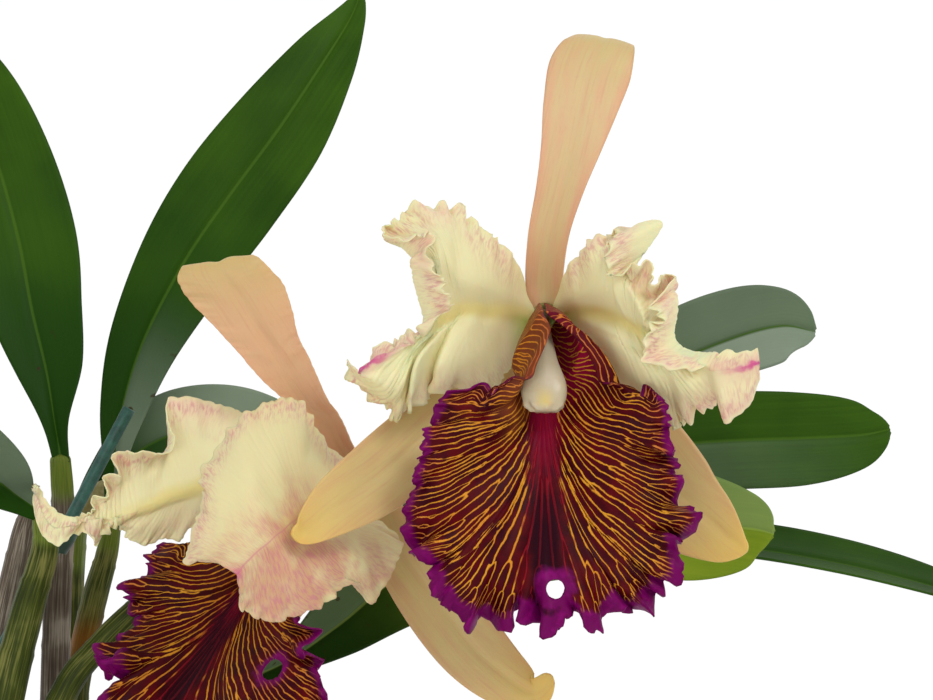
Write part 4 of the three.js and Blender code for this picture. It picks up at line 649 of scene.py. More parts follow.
def petalRecipe(colours):
    # cream, yellow along the midrib and flushed at the edge, with pink veins fanning and a marked tip
    def recipe(f):
        side = f.attribute("side")
        run = f.attribute("run")
        rim = f.attribute("rim")
        u = f.uv().part(1)
        away = f.calc("ABSOLUTE", side)
        drift = f.noise(60.0, 2.0)
        heart = (1 - away.fade(0.3, 5.0)) * (1 - u.fade(0.4, 0.75))
        body = (heart * 0.65).mix(colours["cream"], colours["warm"])
        foot = (1 - u.fade(0.02, 0.09)) * side.fade(-1.0, 2.0)
        body = (foot * 0.8).mix(body, tint(0.62, 0.68, 0.26))
        plain = side.fade(-4.0, 8.0) * (1 - u.fade(0.5, 0.8)) * 0.6
        edge = (1 - rim.fade(2.0, 15.0)) * u.fade(0.02, 0.15) * (1 - plain)
        body = (edge * drift.fade(0.3, 0.7) * 0.75).mix(body, colours["flush"])
        body = ((1 - rim.fade(0.2, 2.2)) * 0.6).mix(body, colours["cream"])
        blushAndShade = f.attribute("blushAndShade")
        # on the flushed petal a darker, pinker patch on one half past its foot: partly its own pink and
        # partly painted shadow of a sepal
        warm = blushAndShade * side.fade(-18.0, 2.0) * u.fade(0.1, 0.4) * f.noise(80.0, 2.0).fade(0.3, 0.65)
        # the flushed petal is also a little darker and yellower all over
        body = (blushAndShade * 0.35).mix(body, tint(0.84, 0.76, 0.52))
        body = (warm * 0.8).mix(body, tint(0.80, 0.58, 0.44))
        fan = run + f.noise(120.0, 2.0) * 2.0
        thread = f.noise(1.0, 3.0, f.place(fan * 1.5, rim * 0.3))
        vein = thread.fade(0.42, 0.66) * f.noise(90.0, 2.0).fade(0.2, 0.6) * edge * rim.fade(0.5, 3.0)
        vein = f.calc("MAXIMUM", vein, warm * thread.fade(0.42, 0.62) * 1.1)
        vein = f.calc("MAXIMUM", vein, blushAndShade * (1 - away.fade(0.05, 0.4)) * u.fade(0.3, 0.5))
        colour = (vein * 0.7).mix(body, colours["pink"])
        mark = f.attribute("mark")
        tip = mark * u.fade(0.86, 0.97) * (1 - (away + (f.noise(400.0, 3.0) - 0.5) * 3.4).fade(0.2, 1.8))
        haze = mark * u.fade(0.78, 0.98) * (1 - away.fade(0.5, 6.0)) * 0.4
        colour = (tip * 0.85).mix(haze.mix(colour, colours["pink"]), colours["mark"])
        ridges = f.calc("SINE", fan * 4.2) * 0.5 + 0.5
        return {"Base Color": colour, "Roughness": drift * 0.1 + 0.45,
                "Normal": f.bump(ridges * 0.5 * edge + f.noise(1300.0, 2.0) * 0.5, 0.00008)}
    return recipe


soft = {"Subsurface Weight": 0.25, "Subsurface Scale": 0.0015, "Specular IOR Level": 0.35}
bloomLooks = {key: finish(key, soft, sepalRecipe(colours)) for key, colours in sepalColours.items()}
bloomLooks["creamPetal"] = finish("creamPetal", soft, petalRecipe(petalColours))
# "seen" holds rows of seven places from one margin over the midrib to the other, each across and down
# the view with its depth; a sheet with "left" and "right" runs straight between its two margins
blooms = {
  "bloom1": {
    "centre": [158.6, -50, 335.5],
    "facing": [0, -1, 0],
    "lipFrame": {
      "origin": [157.2, -50, 335.5], "right": [1, 0, 0], "up": [0, 0, 1], "sway": [0, 0], "reach": 1,
    },
    "pieces": {
      "dorsal_sepal": { "face": [0, -1, 0.8], "look": "apricotSepal", "stations": [
        [158.6, -45, 335, 2.6, 2.6, 0, 0, 0], [158.2, -48, 344, 5.4, 5.4, 0, 20, 20],
        [159.4, -57, 358, 6.3, 6.3, 0, 30, 30], [162.4, -63, 371.4, 7.2, 7.2, 0, 26, 26],
        [165.4, -67, 383.7, 8.9, 8.9, 0, 16, 16], [168, -69.5, 395.8, 11, 11, 0, 0, 0],
        [170.8, -70.5, 406.5, 12.4, 12.2, 0, -10, -10], [174, -68, 414, 10.6, 10.4, 0, -14, -14],
        [175.8, -61, 416.6, 8, 8, 0, -6, -6], [176.8, -54, 414, 3.4, 3.4, 0, 0, 0]] },
      "sepal_left": { "face": [0, -1, 0], "look": "goldSepal", "stations": [
        [157.6, -45, 335, 2.2, 2.2, 0, 0, 0], [151, -46, 327, 4, 6, 0, 20, 20],
        [139, -51, 315, 8.6, 9, 0, 26, 26], [124, -58, 301, 11, 10.7, 0, 22, 22],
        [110.3, -69, 289, 11, 11, 0, 14, 14], [98.5, -82, 281, 8.6, 8.6, 0, 8, 8],
        [90.6, -92, 275, 4.6, 4.6, 0, 4, 4], [86.8, -96, 274, 1.4, 1.4, 0, 0, 0]] },
      "sepal_right": { "face": [0, -1, 0], "look": "goldSepal", "stations": [
        [159.6, -45, 335, 2.2, 2.2, 0, 0, 0], [165, -46, 327, 6, 4, 0, 20, 20],
        [173, -48, 313, 9.6, 9, 0, 26, 26], [185.5, -51, 298, 13, 12.5, 0, 20, 20],
        [197, -54, 283, 13, 14.5, 0, 12, 12], [206.5, -57, 275, 9, 13.5, 0, 8, 8],
        [213, -60, 269, 5, 8.5, 0, 4, 4], [217.5, -62, 265.8, 1.4, 1.8, 0, 0, 0]] },
      "petal_left": { "look": "creamPetal", "seen": [
        [[527, 298, -50], [531, 305, -50], [535, 312, -49], [540, 320, -48],
         [540, 326, -49], [540, 332, -50], [541, 338, -50]],
        [[524, 278, -53], [521, 288, -54], [519, 300, -55], [518, 313, -54],
         [517, 325, -53], [518, 338, -51], [521, 352, -48]],
        [[513, 257, -57], [508, 275, -60], [504, 294, -62], [502, 311, -60],
         [500, 328, -60], [502, 348, -58], [510, 368, -52]],
        [[497, 239, -60], [492, 262, -65], [488, 287, -68], [487, 310, -64],
         [484, 330, -67], [484, 355, -68], [496, 385, -58]],
        [[478, 226, -62], [474, 250, -69], [473, 280, -73], [475, 309, -68],
         [468, 330, -73], [460, 360, -76], [472, 393, -66]],
        [[461, 207, -62], [458, 235, -70], [458, 275, -76], [462, 310, -71],
         [453, 331, -76], [440, 362, -80], [434, 392, -72]],
        [[445, 204, -64], [446, 225, -72], [450, 262, -78], [455, 312, -73],
         [447, 331, -75], [436, 360, -75], [430, 392, -66]],
        [[427, 206, -66], [434, 222, -72], [444, 250, -79], [447, 315, -75],
         [438, 335, -78], [417, 362, -84], [409, 412, -76]],
        [[405, 213, -68], [420, 228, -72], [438, 248, -80], [441, 319, -77],
         [430, 338, -77], [416, 368, -77], [411, 392, -68]],
        [[388, 226, -73], [396, 234, -72], [434, 254, -80], [437, 321, -78],
         [424, 343, -78], [412, 370, -77], [406, 402, -68]],
        [[386, 236, -80], [388, 240, -75], [432, 258, -80], [435, 323, -78],
         [420, 347, -79], [409, 376, -78], [403, 414, -68]],
        [[412, 238, -86], [400, 247, -77], [430, 262, -80], [434, 324, -79],
         [417, 350, -79], [406, 381, -79], [398, 420, -67]],
        [[437, 238, -87], [415, 259, -80], [429, 268, -80], [432, 325, -79],
         [414, 352, -80], [403, 385, -80], [394, 418, -66]],
        [[430, 256, -85], [412, 262, -81], [432, 276, -81], [431, 326, -79],
         [412, 354, -80], [400, 389, -80], [391, 417, -66]],
        [[438, 276, -89], [413, 276, -81], [438, 290, -82], [430, 326, -79],
         [409, 356, -81], [397, 391, -80], [388, 414, -66]],
        [[447, 290, -90], [417, 292, -81], [441, 304, -82], [428, 327, -79],
         [406, 358, -81], [393, 391, -80], [384, 411, -66]],
        [[452, 304, -89], [423, 312, -81], [437, 317, -82], [425, 329, -80],
         [402, 360, -82], [389, 391, -81], [378, 406, -66]],
        [[444, 312, -86], [425, 326, -81], [430, 326, -81], [421, 332, -81],
         [398, 362, -82], [385, 389, -82], [372, 400, -66]],
        [[417, 332, -80], [415, 334, -81], [413, 338, -82], [408, 343, -82],
         [391, 364, -83], [380, 386, -83], [364, 392, -67]],
        [[399, 337, -79], [397, 343, -82], [395, 350, -83], [391, 354, -84],
         [382, 367, -85], [374, 383, -84], [356, 381, -68]],
        [[380, 344, -79], [378, 351, -82], [377, 358, -85], [375, 363, -86],
         [371, 371, -86], [367, 379, -85], [350, 370, -69]],
        [[361, 372, -84], [361, 372.4, -84], [361, 372.8, -84], [361, 373.2, -84],
         [361, 373.6, -84], [361, 374, -84], [346, 360, -70]],
      ] },
      "petal_right": { "look": "creamPetal", "seen": [
        [[551, 308, -50], [549, 311, -49], [547, 314, -49], [546, 317, -48],
         [547, 320, -49], [549, 323, -49], [552, 326, -50]],
        [[558, 293, -51], [561, 300, -53], [564, 307, -54], [566, 313, -52],
         [569, 321, -53], [573, 330, -52], [577, 340, -49]],
        [[566, 270, -57], [571, 284, -61], [576, 298, -63], [579, 312, -60],
         [583, 325, -61], [588, 342, -60], [596, 372, -54]],
        [[577, 255, -60], [584, 272, -66], [591, 292, -69], [594, 312, -64],
         [598, 330, -67], [604, 352, -67], [612, 395, -58]],
        [[590, 243, -62], [596, 262, -70], [603, 286, -74], [607, 315, -68],
         [612, 335, -72], [618, 358, -73], [626, 402, -62]],
        [[604, 235, -64], [607, 255, -71], [612, 282, -76], [617, 318, -72],
         [622, 340, -75], [629, 362, -77], [638, 410, -64]],
        [[615, 233, -70], [634, 229, -68], [613, 274, -77], [625, 322, -74],
         [630, 343, -77], [636, 365, -79], [645, 415, -65]],
        [[608, 248, -83], [661, 222, -70], [615, 279, -78], [630, 325, -75],
         [635, 346, -78], [642, 368, -80], [652, 419, -66]],
        [[607, 263, -85], [650, 243, -73], [620, 282, -79], [634, 328, -76],
         [640, 349, -79], [648, 371, -80], [658, 422, -67]],
        [[612, 276, -83], [630, 269, -77], [626, 287, -80], [637, 330, -77],
         [644, 351, -79], [653, 374, -80], [663, 424, -68]],
        [[633, 265, -84], [632, 281, -79], [633, 297, -81], [640, 331, -78],
         [648, 353, -79], [657, 376, -80], [668, 425, -68]],
        [[647, 265, -84], [645, 291, -78], [640, 309, -82], [643, 332, -79],
         [651, 354, -79], [661, 378, -80], [672, 425, -69]],
        [[652, 281, -83], [653, 300, -78], [645, 318, -83], [646, 333, -79],
         [654, 355, -80], [664, 379, -80], [675, 425, -69]],
        [[668, 276, -80], [672, 288, -78], [650, 322, -83], [649, 334, -80],
         [657, 357, -80], [667, 381, -80], [678, 424, -70]],
        [[658, 303, -91], [677, 299, -80], [653, 326, -83], [652, 335, -80],
         [660, 359, -81], [670, 383, -80], [681, 423, -70]],
        [[656, 319, -92], [676, 316, -80], [656, 330, -83], [655, 337, -80],
         [664, 361, -82], [674, 386, -81], [684, 422, -71]],
        [[648, 331, -93], [674, 332, -81], [659, 335, -83], [658, 340, -81],
         [668, 364, -83], [679, 390, -82], [688, 421, -72]],
        [[643, 350, -93], [677, 345, -82], [665, 345, -84], [664, 346, -82],
         [674, 368, -84], [686, 394, -82], [694, 418, -73]],
        [[651, 362, -92], [690, 351, -82], [675, 353, -85], [674, 355, -83],
         [682, 374, -85], [693, 398, -82], [702, 414, -74]],
        [[675, 369, -90], [703, 353, -83], [690, 361, -86], [689, 364, -84],
         [696, 381, -85], [705, 399, -82], [712, 407, -75]],
        [[702, 370, -88], [716, 354, -85], [706, 365, -88], [704, 370, -87],
         [709, 384, -87], [715, 396, -84], [720, 402, -78]],
        [[722, 352, -87], [719, 360, -88], [716, 366, -90], [716, 371, -91],
         [718, 386, -91], [722, 404, -90], [727, 422, -86]],
        [[738, 351, -87], [737, 358, -89], [736, 364, -91], [735, 370, -93],
         [737, 382, -92], [740, 396, -90], [743, 411, -86]],
        [[750, 351, -87], [750, 356, -89], [750, 361, -91], [750, 366, -92],
         [752, 376, -91], [753, 387, -90], [754, 397, -86]],
        [[757, 348, -87], [758, 355, -89], [759, 359, -90], [760, 363, -91],
         [760, 368, -90], [760, 373, -90], [760, 379, -88]],
      ] },
    },
  },
  "bloom2": {
    "centre": [100.5, -32, 284.2],
    "facing": [-0.75, -0.64, 0.05],
    "lipFrame": {
      "origin": [100.5, -32, 284.2], "right": [0.784, -0.604, -0.13], "up": [0.312, 0.208, 0.927],
      "sway": [-12, -14], "reach": 0.72,
    },
    "pieces": {
      "dorsal_sepal": { "look": "apricotSepal",
        "left": [[364, 481], [337, 464], [313, 426], [290, 406], [262, 379], [238, 352], [214, 325],
                 [190, 301], [179, 281], [182, 267], [187, 269], [197, 275], [214, 273]],
        "right": [[373, 475], [354, 446], [341, 419], [326, 397], [310, 362], [299, 336], [293, 312],
                  [283, 286], [268, 267], [254, 255], [250, 258], [240, 267], [222, 272]],
        "depth": [-27.4, -29, -33, -36, -40, -43, -46, -48, -49.5, -48.5, -43, -37, -35],
        "bow": [0, 1.5, 2, 2, 1.6, 0.8, 0, -1, -1.4, -1.4, -1, 0, 0] },
      "sepal_left": { "face": [-0.5, -0.8, -0.2], "look": "apricotSepal", "stations": [
        [104.5, -28.4, 284, 2.2, 2.2, 0, 0, 0], [97, -24.5, 275, 6, 4.6, 0, 20, 20],
        [85, -20, 259, 10, 10, 0, 20, 20], [73, -17, 245, 10.6, 10.6, 0, 10, 10],
        [63, -15, 233, 8.4, 8.4, 0, 6, 6], [56, -14, 224.5, 1.8, 1.8, 0, 0, 0]] },
      "sepal_right": { "face": [0.1, -1, 0.1], "look": "goldSepal", "stations": [
        [105, -29.4, 284, 2.2, 2.2, 0, 0, 0], [109, -32, 275, 6.2, 4.4, 0, 20, 20],
        [116, -36, 262, 9.8, 9.4, 0, 22, 22], [126.5, -40, 248, 11, 11.4, 0, 14, 14],
        [137, -44, 235, 10.4, 10.9, 0, 4, 4], [147, -48, 226.5, 8, 9, 0, -10, -10],
        [155, -50, 222.5, 5, 6, 0, -20, -20], [160.5, -51, 227.5, 1.8, 1.8, 0, 0, 0]] },
      "petal_right": { "look": "creamPetal", "seen": [
        [[364, 473, -36], [364.5, 476, -36.5], [365, 480, -37], [365.5, 483, -37],
         [366, 486, -37], [366.5, 490, -36.5], [367, 493, -36]],
        [[348, 460, -44], [350, 467, -47], [352, 475, -49], [354, 484, -50],
         [356, 494, -49], [360, 504, -47], [368, 514, -44]],
        [[332, 450, -48], [331, 462, -54], [330, 476, -58], [332, 493, -60],
         [341, 508, -58], [358, 518, -54], [382, 522, -48]],
        [[314, 425, -46], [312, 447, -56], [312, 470, -64], [318, 501, -66],
         [336, 518, -64], [362, 530, -58], [401, 541, -50]],
        [[304, 404, -50], [301, 436, -62], [300, 468, -70], [310, 507, -72],
         [332, 526, -70], [358, 544, -64], [397, 560, -54]],
        [[290, 398, -54], [286, 430, -66], [288, 466, -75], [303, 512, -77],
         [326, 534, -75], [352, 556, -70], [384, 588, -58]],
        [[272, 400, -58], [270, 432, -70], [277, 468, -79], [296, 518, -81],
         [320, 544, -80], [342, 566, -75], [370, 603, -62]],
        [[255, 407, -62], [254, 438, -74], [266, 475, -83], [288, 525, -85],
         [312, 552, -84], [332, 572, -80], [357, 582, -68]],
        [[240, 419, -66], [242, 448, -78], [256, 484, -87], [281, 531, -89],
         [303, 560, -88], [320, 580, -84], [340, 593, -76]],
        [[222, 441, -70], [229, 464, -81], [247, 497, -90], [274, 537, -92],
         [292, 567, -92], [304, 590, -88], [322, 605, -82]],
        [[201, 470, -76], [217, 487, -85], [239, 512, -92], [266, 544, -95],
         [280, 573, -95], [288, 597, -92], [300, 615, -86]],
        [[204, 493, -82], [212, 508, -89], [233, 527, -95], [258, 551, -98],
         [268, 577, -98], [272, 600, -95], [280, 621, -90]],
        [[194, 520, -87], [206, 531, -93], [227, 543, -98], [250, 559, -101],
         [256, 580, -101], [258, 600, -98], [262, 620, -94]],
        [[190, 546, -91], [203, 548, -97], [224, 556, -102], [243, 566, -104],
         [247, 582, -104], [248, 598, -101], [248, 613, -97]],
        [[188, 565, -95], [204, 556, -102], [222, 561, -106], [238, 573, -107],
         [241, 583, -107], [242, 594, -104], [240, 606, -100]],
        [[206, 562, -99], [214, 560, -103], [226, 567, -107], [235, 576, -108],
         [238, 584, -107], [240, 591, -105], [241, 598, -102]],
      ] },
      "petal_left": { "look": "creamPetal", "seen": [
        [[348, 468, -27], [348, 471, -27], [348, 475, -27], [348, 479, -27],
         [348, 484, -27], [348, 488, -27], [348, 492, -27]],
        [[318, 448, -23], [317, 459, -24], [316, 470, -25], [315, 480, -25],
         [314, 490, -25], [312, 501, -24], [311, 512, -23]],
        [[286, 430, -23], [283, 447, -25], [280, 464, -27], [278, 482, -28],
         [276, 494, -28], [273, 508, -26], [270, 522, -24]],
        [[262, 418, -24], [256, 438, -26], [251, 460, -30], [247, 484, -32],
         [245, 498, -31], [242, 512, -29], [238, 528, -27]],
        [[240, 410, -24], [234, 432, -27], [228, 457, -31], [222, 485, -33],
         [218, 500, -32], [214, 514, -30], [208, 528, -28]],
        [[220, 404, -25], [213, 428, -28], [208, 456, -32], [204, 487, -34],
         [200, 501, -33], [196, 515, -31], [190, 528, -29]],
        [[200, 400, -26], [196, 426, -30], [194, 458, -33], [192, 490, -35],
         [188, 503, -34], [184, 518, -32], [177, 540, -30]],
        [[183, 397, -28], [183, 428, -31], [184, 462, -34], [182, 493, -36],
         [176, 505, -35], [172, 520, -34], [166, 539, -32]],
        [[167, 400, -30], [172, 430, -32], [173, 466, -35], [172, 496, -37],
         [166, 508, -36], [160, 524, -35], [152, 543, -33]],
        [[172, 425, -36], [169, 440, -34], [164, 472, -36], [161, 501, -38],
         [156, 512, -37], [149, 527, -36], [143, 544, -34]],
        [[172, 449, -40], [162, 456, -37], [155, 480, -38], [151, 505, -39],
         [146, 516, -38], [140, 528, -38], [133, 541, -36]],
        [[157, 457, -43], [149, 464, -38], [145, 485, -39], [141, 509, -40],
         [136, 518, -39], [131, 528, -39], [126, 537, -37]],
        [[143, 448, -44], [138, 462, -40], [134, 488, -40], [131, 513, -41],
         [127, 520, -40], [124, 526, -40], [121, 531, -38]],
        [[125, 452, -44], [126, 470, -41], [123, 493, -41], [120, 518, -42],
         [118, 520, -42], [117, 522, -42], [116, 524, -41]],
        [[116, 467, -45], [117, 483, -42], [114, 502, -42], [110, 519, -43],
         [108, 521, -43], [107, 524, -43], [106, 528, -43]],
        [[107, 480, -46], [108, 494, -43], [105, 507, -43], [101, 519, -44],
         [101, 526, -44], [102, 534, -44], [103, 541, -43]],
        [[101, 496, -46], [99, 504, -44], [97, 512, -44], [94, 520, -45],
         [94, 528, -45], [95, 536, -44], [96, 544, -44]],
        [[89, 510, -46], [88, 514, -45], [87, 518, -45], [86, 522, -45],
         [85, 527, -45], [85, 532, -45], [86, 536, -45]],
        [[78, 518, -46], [77, 520, -46], [76, 523, -46], [75, 526, -46],
         [74, 530, -46], [73, 533, -46], [72, 536, -46]],
        [[63, 514, -47], [61, 517, -47], [59, 522, -47], [57, 527, -47],
         [56, 532, -47], [56, 538, -47], [57, 545, -47]],
        [[50, 506, -47], [47, 508, -47], [45, 511, -48], [43, 514, -48],
         [41, 519, -48], [40, 525, -48], [41, 532, -48]],
        [[40, 488, -48], [38, 489, -48], [37, 491, -48], [36, 493, -48],
         [35, 496, -48], [34, 500, -48], [33, 504, -48]],
        [[38, 486.5, -48], [37.5, 487, -48], [37, 487.5, -48], [36.5, 488, -48],
         [36, 488.5, -48], [35.5, 489, -48], [35, 489.5, -48]],
      ] },
    },
  },
}
for bloomName, bloom in blooms.items():
    for seed, (pieceName, part) in enumerate(bloom["pieces"].items()):
        pieceKey = bloomName + "_" + pieceName
        if pieceKey in petalTraits:
            part["ruffle"], part["blushAndShade"], part["mark"] = petalTraits[pieceKey]
            piece = foldedSheet(pieceKey + "_fine", part, petalSettings, seed + 10 * int(bloomName[-1]),
                                bloomLooks[part["look"]])
        else:
            part["blushAndShade"] = 1.0 if pieceKey == "bloom2_sepal_left" else 0.0
            piece = blade(pieceKey + "_fine", part, sepalSettings, bloomLooks[part["look"]])
        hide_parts(pieceKey)
print("sepals and petals made")


# lips
lipSettings = {"along": 100, "across": 400, "thick": 0.8, "tubeShare": 0.28, "halfAngle": 100,
               "gather": 0.08, "gatherPower": 5, "pinch": 0.66, "throatHeight": -27, "depth": 32,
               "bulge": 12, "bandDrop": 34, "frill": 3.4, "waves": 9, "edgeSamples": 900,
               "edgeRadius": 48, "scallop": 1.1, "scallopWidth": 4.6,
               "lobeVeins": 0.3, "coreFrom": (0.22, 0.0), "husk": (1, 0.15),
               "holes": ([(2.4, -49.6, 2.6, 2.4)], [(2.4, -49.6, 2.6, 2.4), (28.6, -22, 3.2, 0.4)]),
               "crinkles": [(2.8, 14, 10, 5), (2.3, 7.5, 5, 6), (0.6, 3.4, 2.2, 7)]}
tubeRings = [[-1, 3.4, 4.5, 168, 0], [-3, 9, 6, 172, 0.6], [-5.5, 14, 8, 175, 1.6], [-8, 19, 9.6, 176, 3],
             [-10, 23.5, 10.6, 177, 4.5]]
# the free margins of the side lobes, from the tube's mouth to the apron: across, up and forward
sideLobes = {-1: [[1.2, 0.7, 27.5], [1.9, -4, 31.5], [-0.2, -9.8, 34.5], [-2.3, -14.5, 36.5], [-4, -18.6, 38],
                  [-9, -18, 37.5], [-12.7, -21, 36.5], [-14.9, -23, 37.5], [-17.5, -19.8, 35.5],
                  [-22.5, -21.4, 35.5], [-29.4, -22, 34]],
             1: [[1.5, 0.6, 27.5], [3.3, -2, 28.5], [7, -5.1, 29.5], [11.3, -9.9, 30.5], [14.1, -15.1, 31.5],
                 [15.6, -19.6, 32], [19.3, -19.9, 34], [23.5, -21, 32], [27.5, -24, 34.5], [29.4, -21.4, 33],
                 [31.5, -23, 34]]}
# each apron's edge: degrees round from straight down, and millimetres from the throat
apronEdges = {
    "bloom1_lip": [
        (-100, 28), (-96.5, 29.6), (-93, 30.5), (-88, 30), (-83, 33.5), (-76, 35.4), (-70, 37), (-66, 39.7),
        (-61, 42.3), (-57, 46), (-53, 49.3), (-48, 53), (-42, 55.2), (-38, 54), (-36, 56), (-32, 59.3),
        (-27, 62.3), (-21, 62.8), (-15, 63.4), (-11.5, 62.6), (-9, 58.5), (-6, 57.5), (-3.6, 60.5), (0, 61),
        (2.5, 61), (5.5, 57.5), (8.5, 57.5), (11, 62), (14.8, 63), (18.3, 58.6), (20.4, 57.5), (23, 63),
        (27.6, 61.2), (31.8, 61.8), (34, 59), (37, 60.5), (42.8, 55.5), (45, 50.5), (48.5, 53.5),
        (55.2, 50.6), (58, 45), (62, 41.5), (68.6, 40.3), (76.7, 35.7), (86.2, 34.9), (92, 33.8),
        (97, 32), (100, 30.5)],
    "bloom2_lip": [
        (-100, 30), (-98, 35.5), (-94, 38.5), (-90, 38), (-84, 33.6), (-79, 34.2), (-73, 35), (-69, 36.5),
        (-66.5, 41), (-64, 38.5), (-61, 34.5), (-57.5, 37), (-54, 45), (-50, 49), (-45, 50), (-40, 47.5),
        (-36.5, 43.5), (-34, 42), (-32, 46), (-30, 54), (-26, 59), (-20, 58), (-14, 55), (-7, 55), (0, 52),
        (7, 54), (14, 53), (21, 56), (27, 53), (33, 56), (39, 58), (45, 56), (51, 59), (57, 60), (62, 56),
        (65, 49), (68, 43), (72, 40.5), (76, 37), (80, 34.5), (85, 30), (90, 27.5), (100, 25)]}


def lipGrid(axes, edgeTable, s):
    # along the tube the point is on a ring of radius r: (r sin w, h - r cos w, d - lean cos w); past the
    # mouth a cubic curve (1-t)^3 start + 3t(1-t)^2 leave + 3t^2(1-t) arrive + t^3 edge runs to the edge
    along = np.linspace(0, 1, steps(s["along"]))[:, None]
    across = np.linspace(-1, 1, steps(s["across"]) // 2 * 2 + 1)[None, :]
    ring = np.minimum(along / s["tubeShare"], 1)
    height, depth, radius, wrapAngle, lean = np.moveaxis(trackRows(tubeRings, ring), -1, 0)
    share = np.abs(across)
    wrap = np.radians(wrapAngle * across * (s["gather"] + (1 - s["gather"]) * share ** s["gatherPower"]))
    drift = easeStep(0, 1, ring)
    reachShare = axes["reach"]
    narrow = 1 - s["pinch"] * easeStep(0.75, 2.4, -wrap)
    start = np.stack([radius * np.sin(wrap) * narrow + axes["sway"][0] * drift,
                      height - radius * np.cos(wrap) + axes["sway"][1] * drift,
                      (depth - lean * np.cos(wrap)) * reachShare], -1)
    t = np.clip((along - s["tubeShare"]) / (1 - s["tubeShare"]), 0, 1)[..., None] + 0 * start[..., :1]
    angle = np.radians(s["halfAngle"] * across) + 0 * along
    degrees, reaches = trackRows(edgeTable, np.linspace(0, 1, s["edgeSamples"])).T
    reach = np.interp(np.degrees(angle), degrees, reaches)
    # small scallops |sin| along the edge, of uneven width
    edgeRun = angle * s["edgeRadius"]
    scallop = np.abs(np.sin(math.pi / s["scallopWidth"] * (edgeRun + 2 * ripple(edgeRun, 21, 31)))) ** 0.7
    reach = reach + s["scallop"] * (scallop - 0.6) * easeStep(0, 0.12, 1 - np.abs(across))
    edge = np.stack([reach * np.sin(angle) + axes["sway"][0],
                     s["throatHeight"] - reach * np.cos(angle) + axes["sway"][1],
                     (s["depth"] + s["bulge"] * np.cos(angle / 2) ** 4) * reachShare], -1)
    span = np.linalg.norm(edge - start, axis=-1, keepdims=True)
    away = np.stack([0.25 * np.sin(angle), -0.8 + 0 * angle, 0.55 * np.cos(angle) ** 2], -1)
    leave = start + away * span / 3
    arrive = edge - np.stack([np.sin(angle), -np.cos(angle), -0.3 + 0 * angle], -1) * span / 3
    # inner lines first run down beside the middle and then turn out towards the side
    low = np.cos(angle).clip(0)
    band = s["throatHeight"] + axes["sway"][1] - s["bandDrop"] * low ** 2.4
    out = edge[..., 0] - axes["sway"][0]
    drop = 0.28 + 0.36 * easeStep(0.75, 1, low)
    turnIn = np.stack([axes["sway"][0] + 0.06 * out, band, leave[..., 2]], -1)
    turnOut = np.stack([axes["sway"][0] + (0.42 + 0.3 * easeStep(0.75, 1, low)) * out,
                        edge[..., 1] + drop * (band - edge[..., 1]), arrive[..., 2]], -1)
    outer = easeStep(0.7, 0.95, share)[..., None]
    leave = turnIn + (leave - turnIn) * outer
    arrive = turnOut + (arrive - turnOut) * outer
    point = (start * (1 - t) ** 3 + 3 * leave * t * (1 - t) ** 2
             + 3 * arrive * t ** 2 * (1 - t) + edge * t ** 3)
    # the side lobes' free margins follow their own lines, and the sheet beside them is drawn along
    t = t[..., 0]
    for sign, rows in sideLobes.items():
        path = trackRows(rows, t[:, :1])
        path = path * [1, 1, reachShare] + np.array([*axes["sway"], 0]) * easeStep(0, 0.4, t[:, :1, None])
        margin = point[:, :1] if sign < 0 else point[:, -1:]
        path = path + (margin[-1:] - path[-1:]) * easeStep(0.6, 1, t[:, :1, None])
        # the even part of the line draws a wide strip along, and its small bends only the rim
        window = np.exp(-np.linspace(-2, 2, len(path) // 5 * 2 + 1) ** 2)
        padded = np.pad(path[:, 0], ((len(window) // 2,) * 2, (0, 0)), "reflect", reflect_type="odd")
        even = np.stack([np.convolve(line, window / window.sum(), "valid") for line in padded.T], -1)[:, None]
        grow = easeStep(0, 0.12, t)[..., None]
        point = point + (even - margin) * easeStep(0.62, 1, sign * across)[..., None] * grow
        point = point + (path - even) * easeStep(0.85, 1, sign * across)[..., None] * grow
    point[..., 2] += s["frill"] * t ** 2 * np.sin(s["waves"] * angle + 0.8)
    return point, along + 0 * angle, across + 0 * angle, t


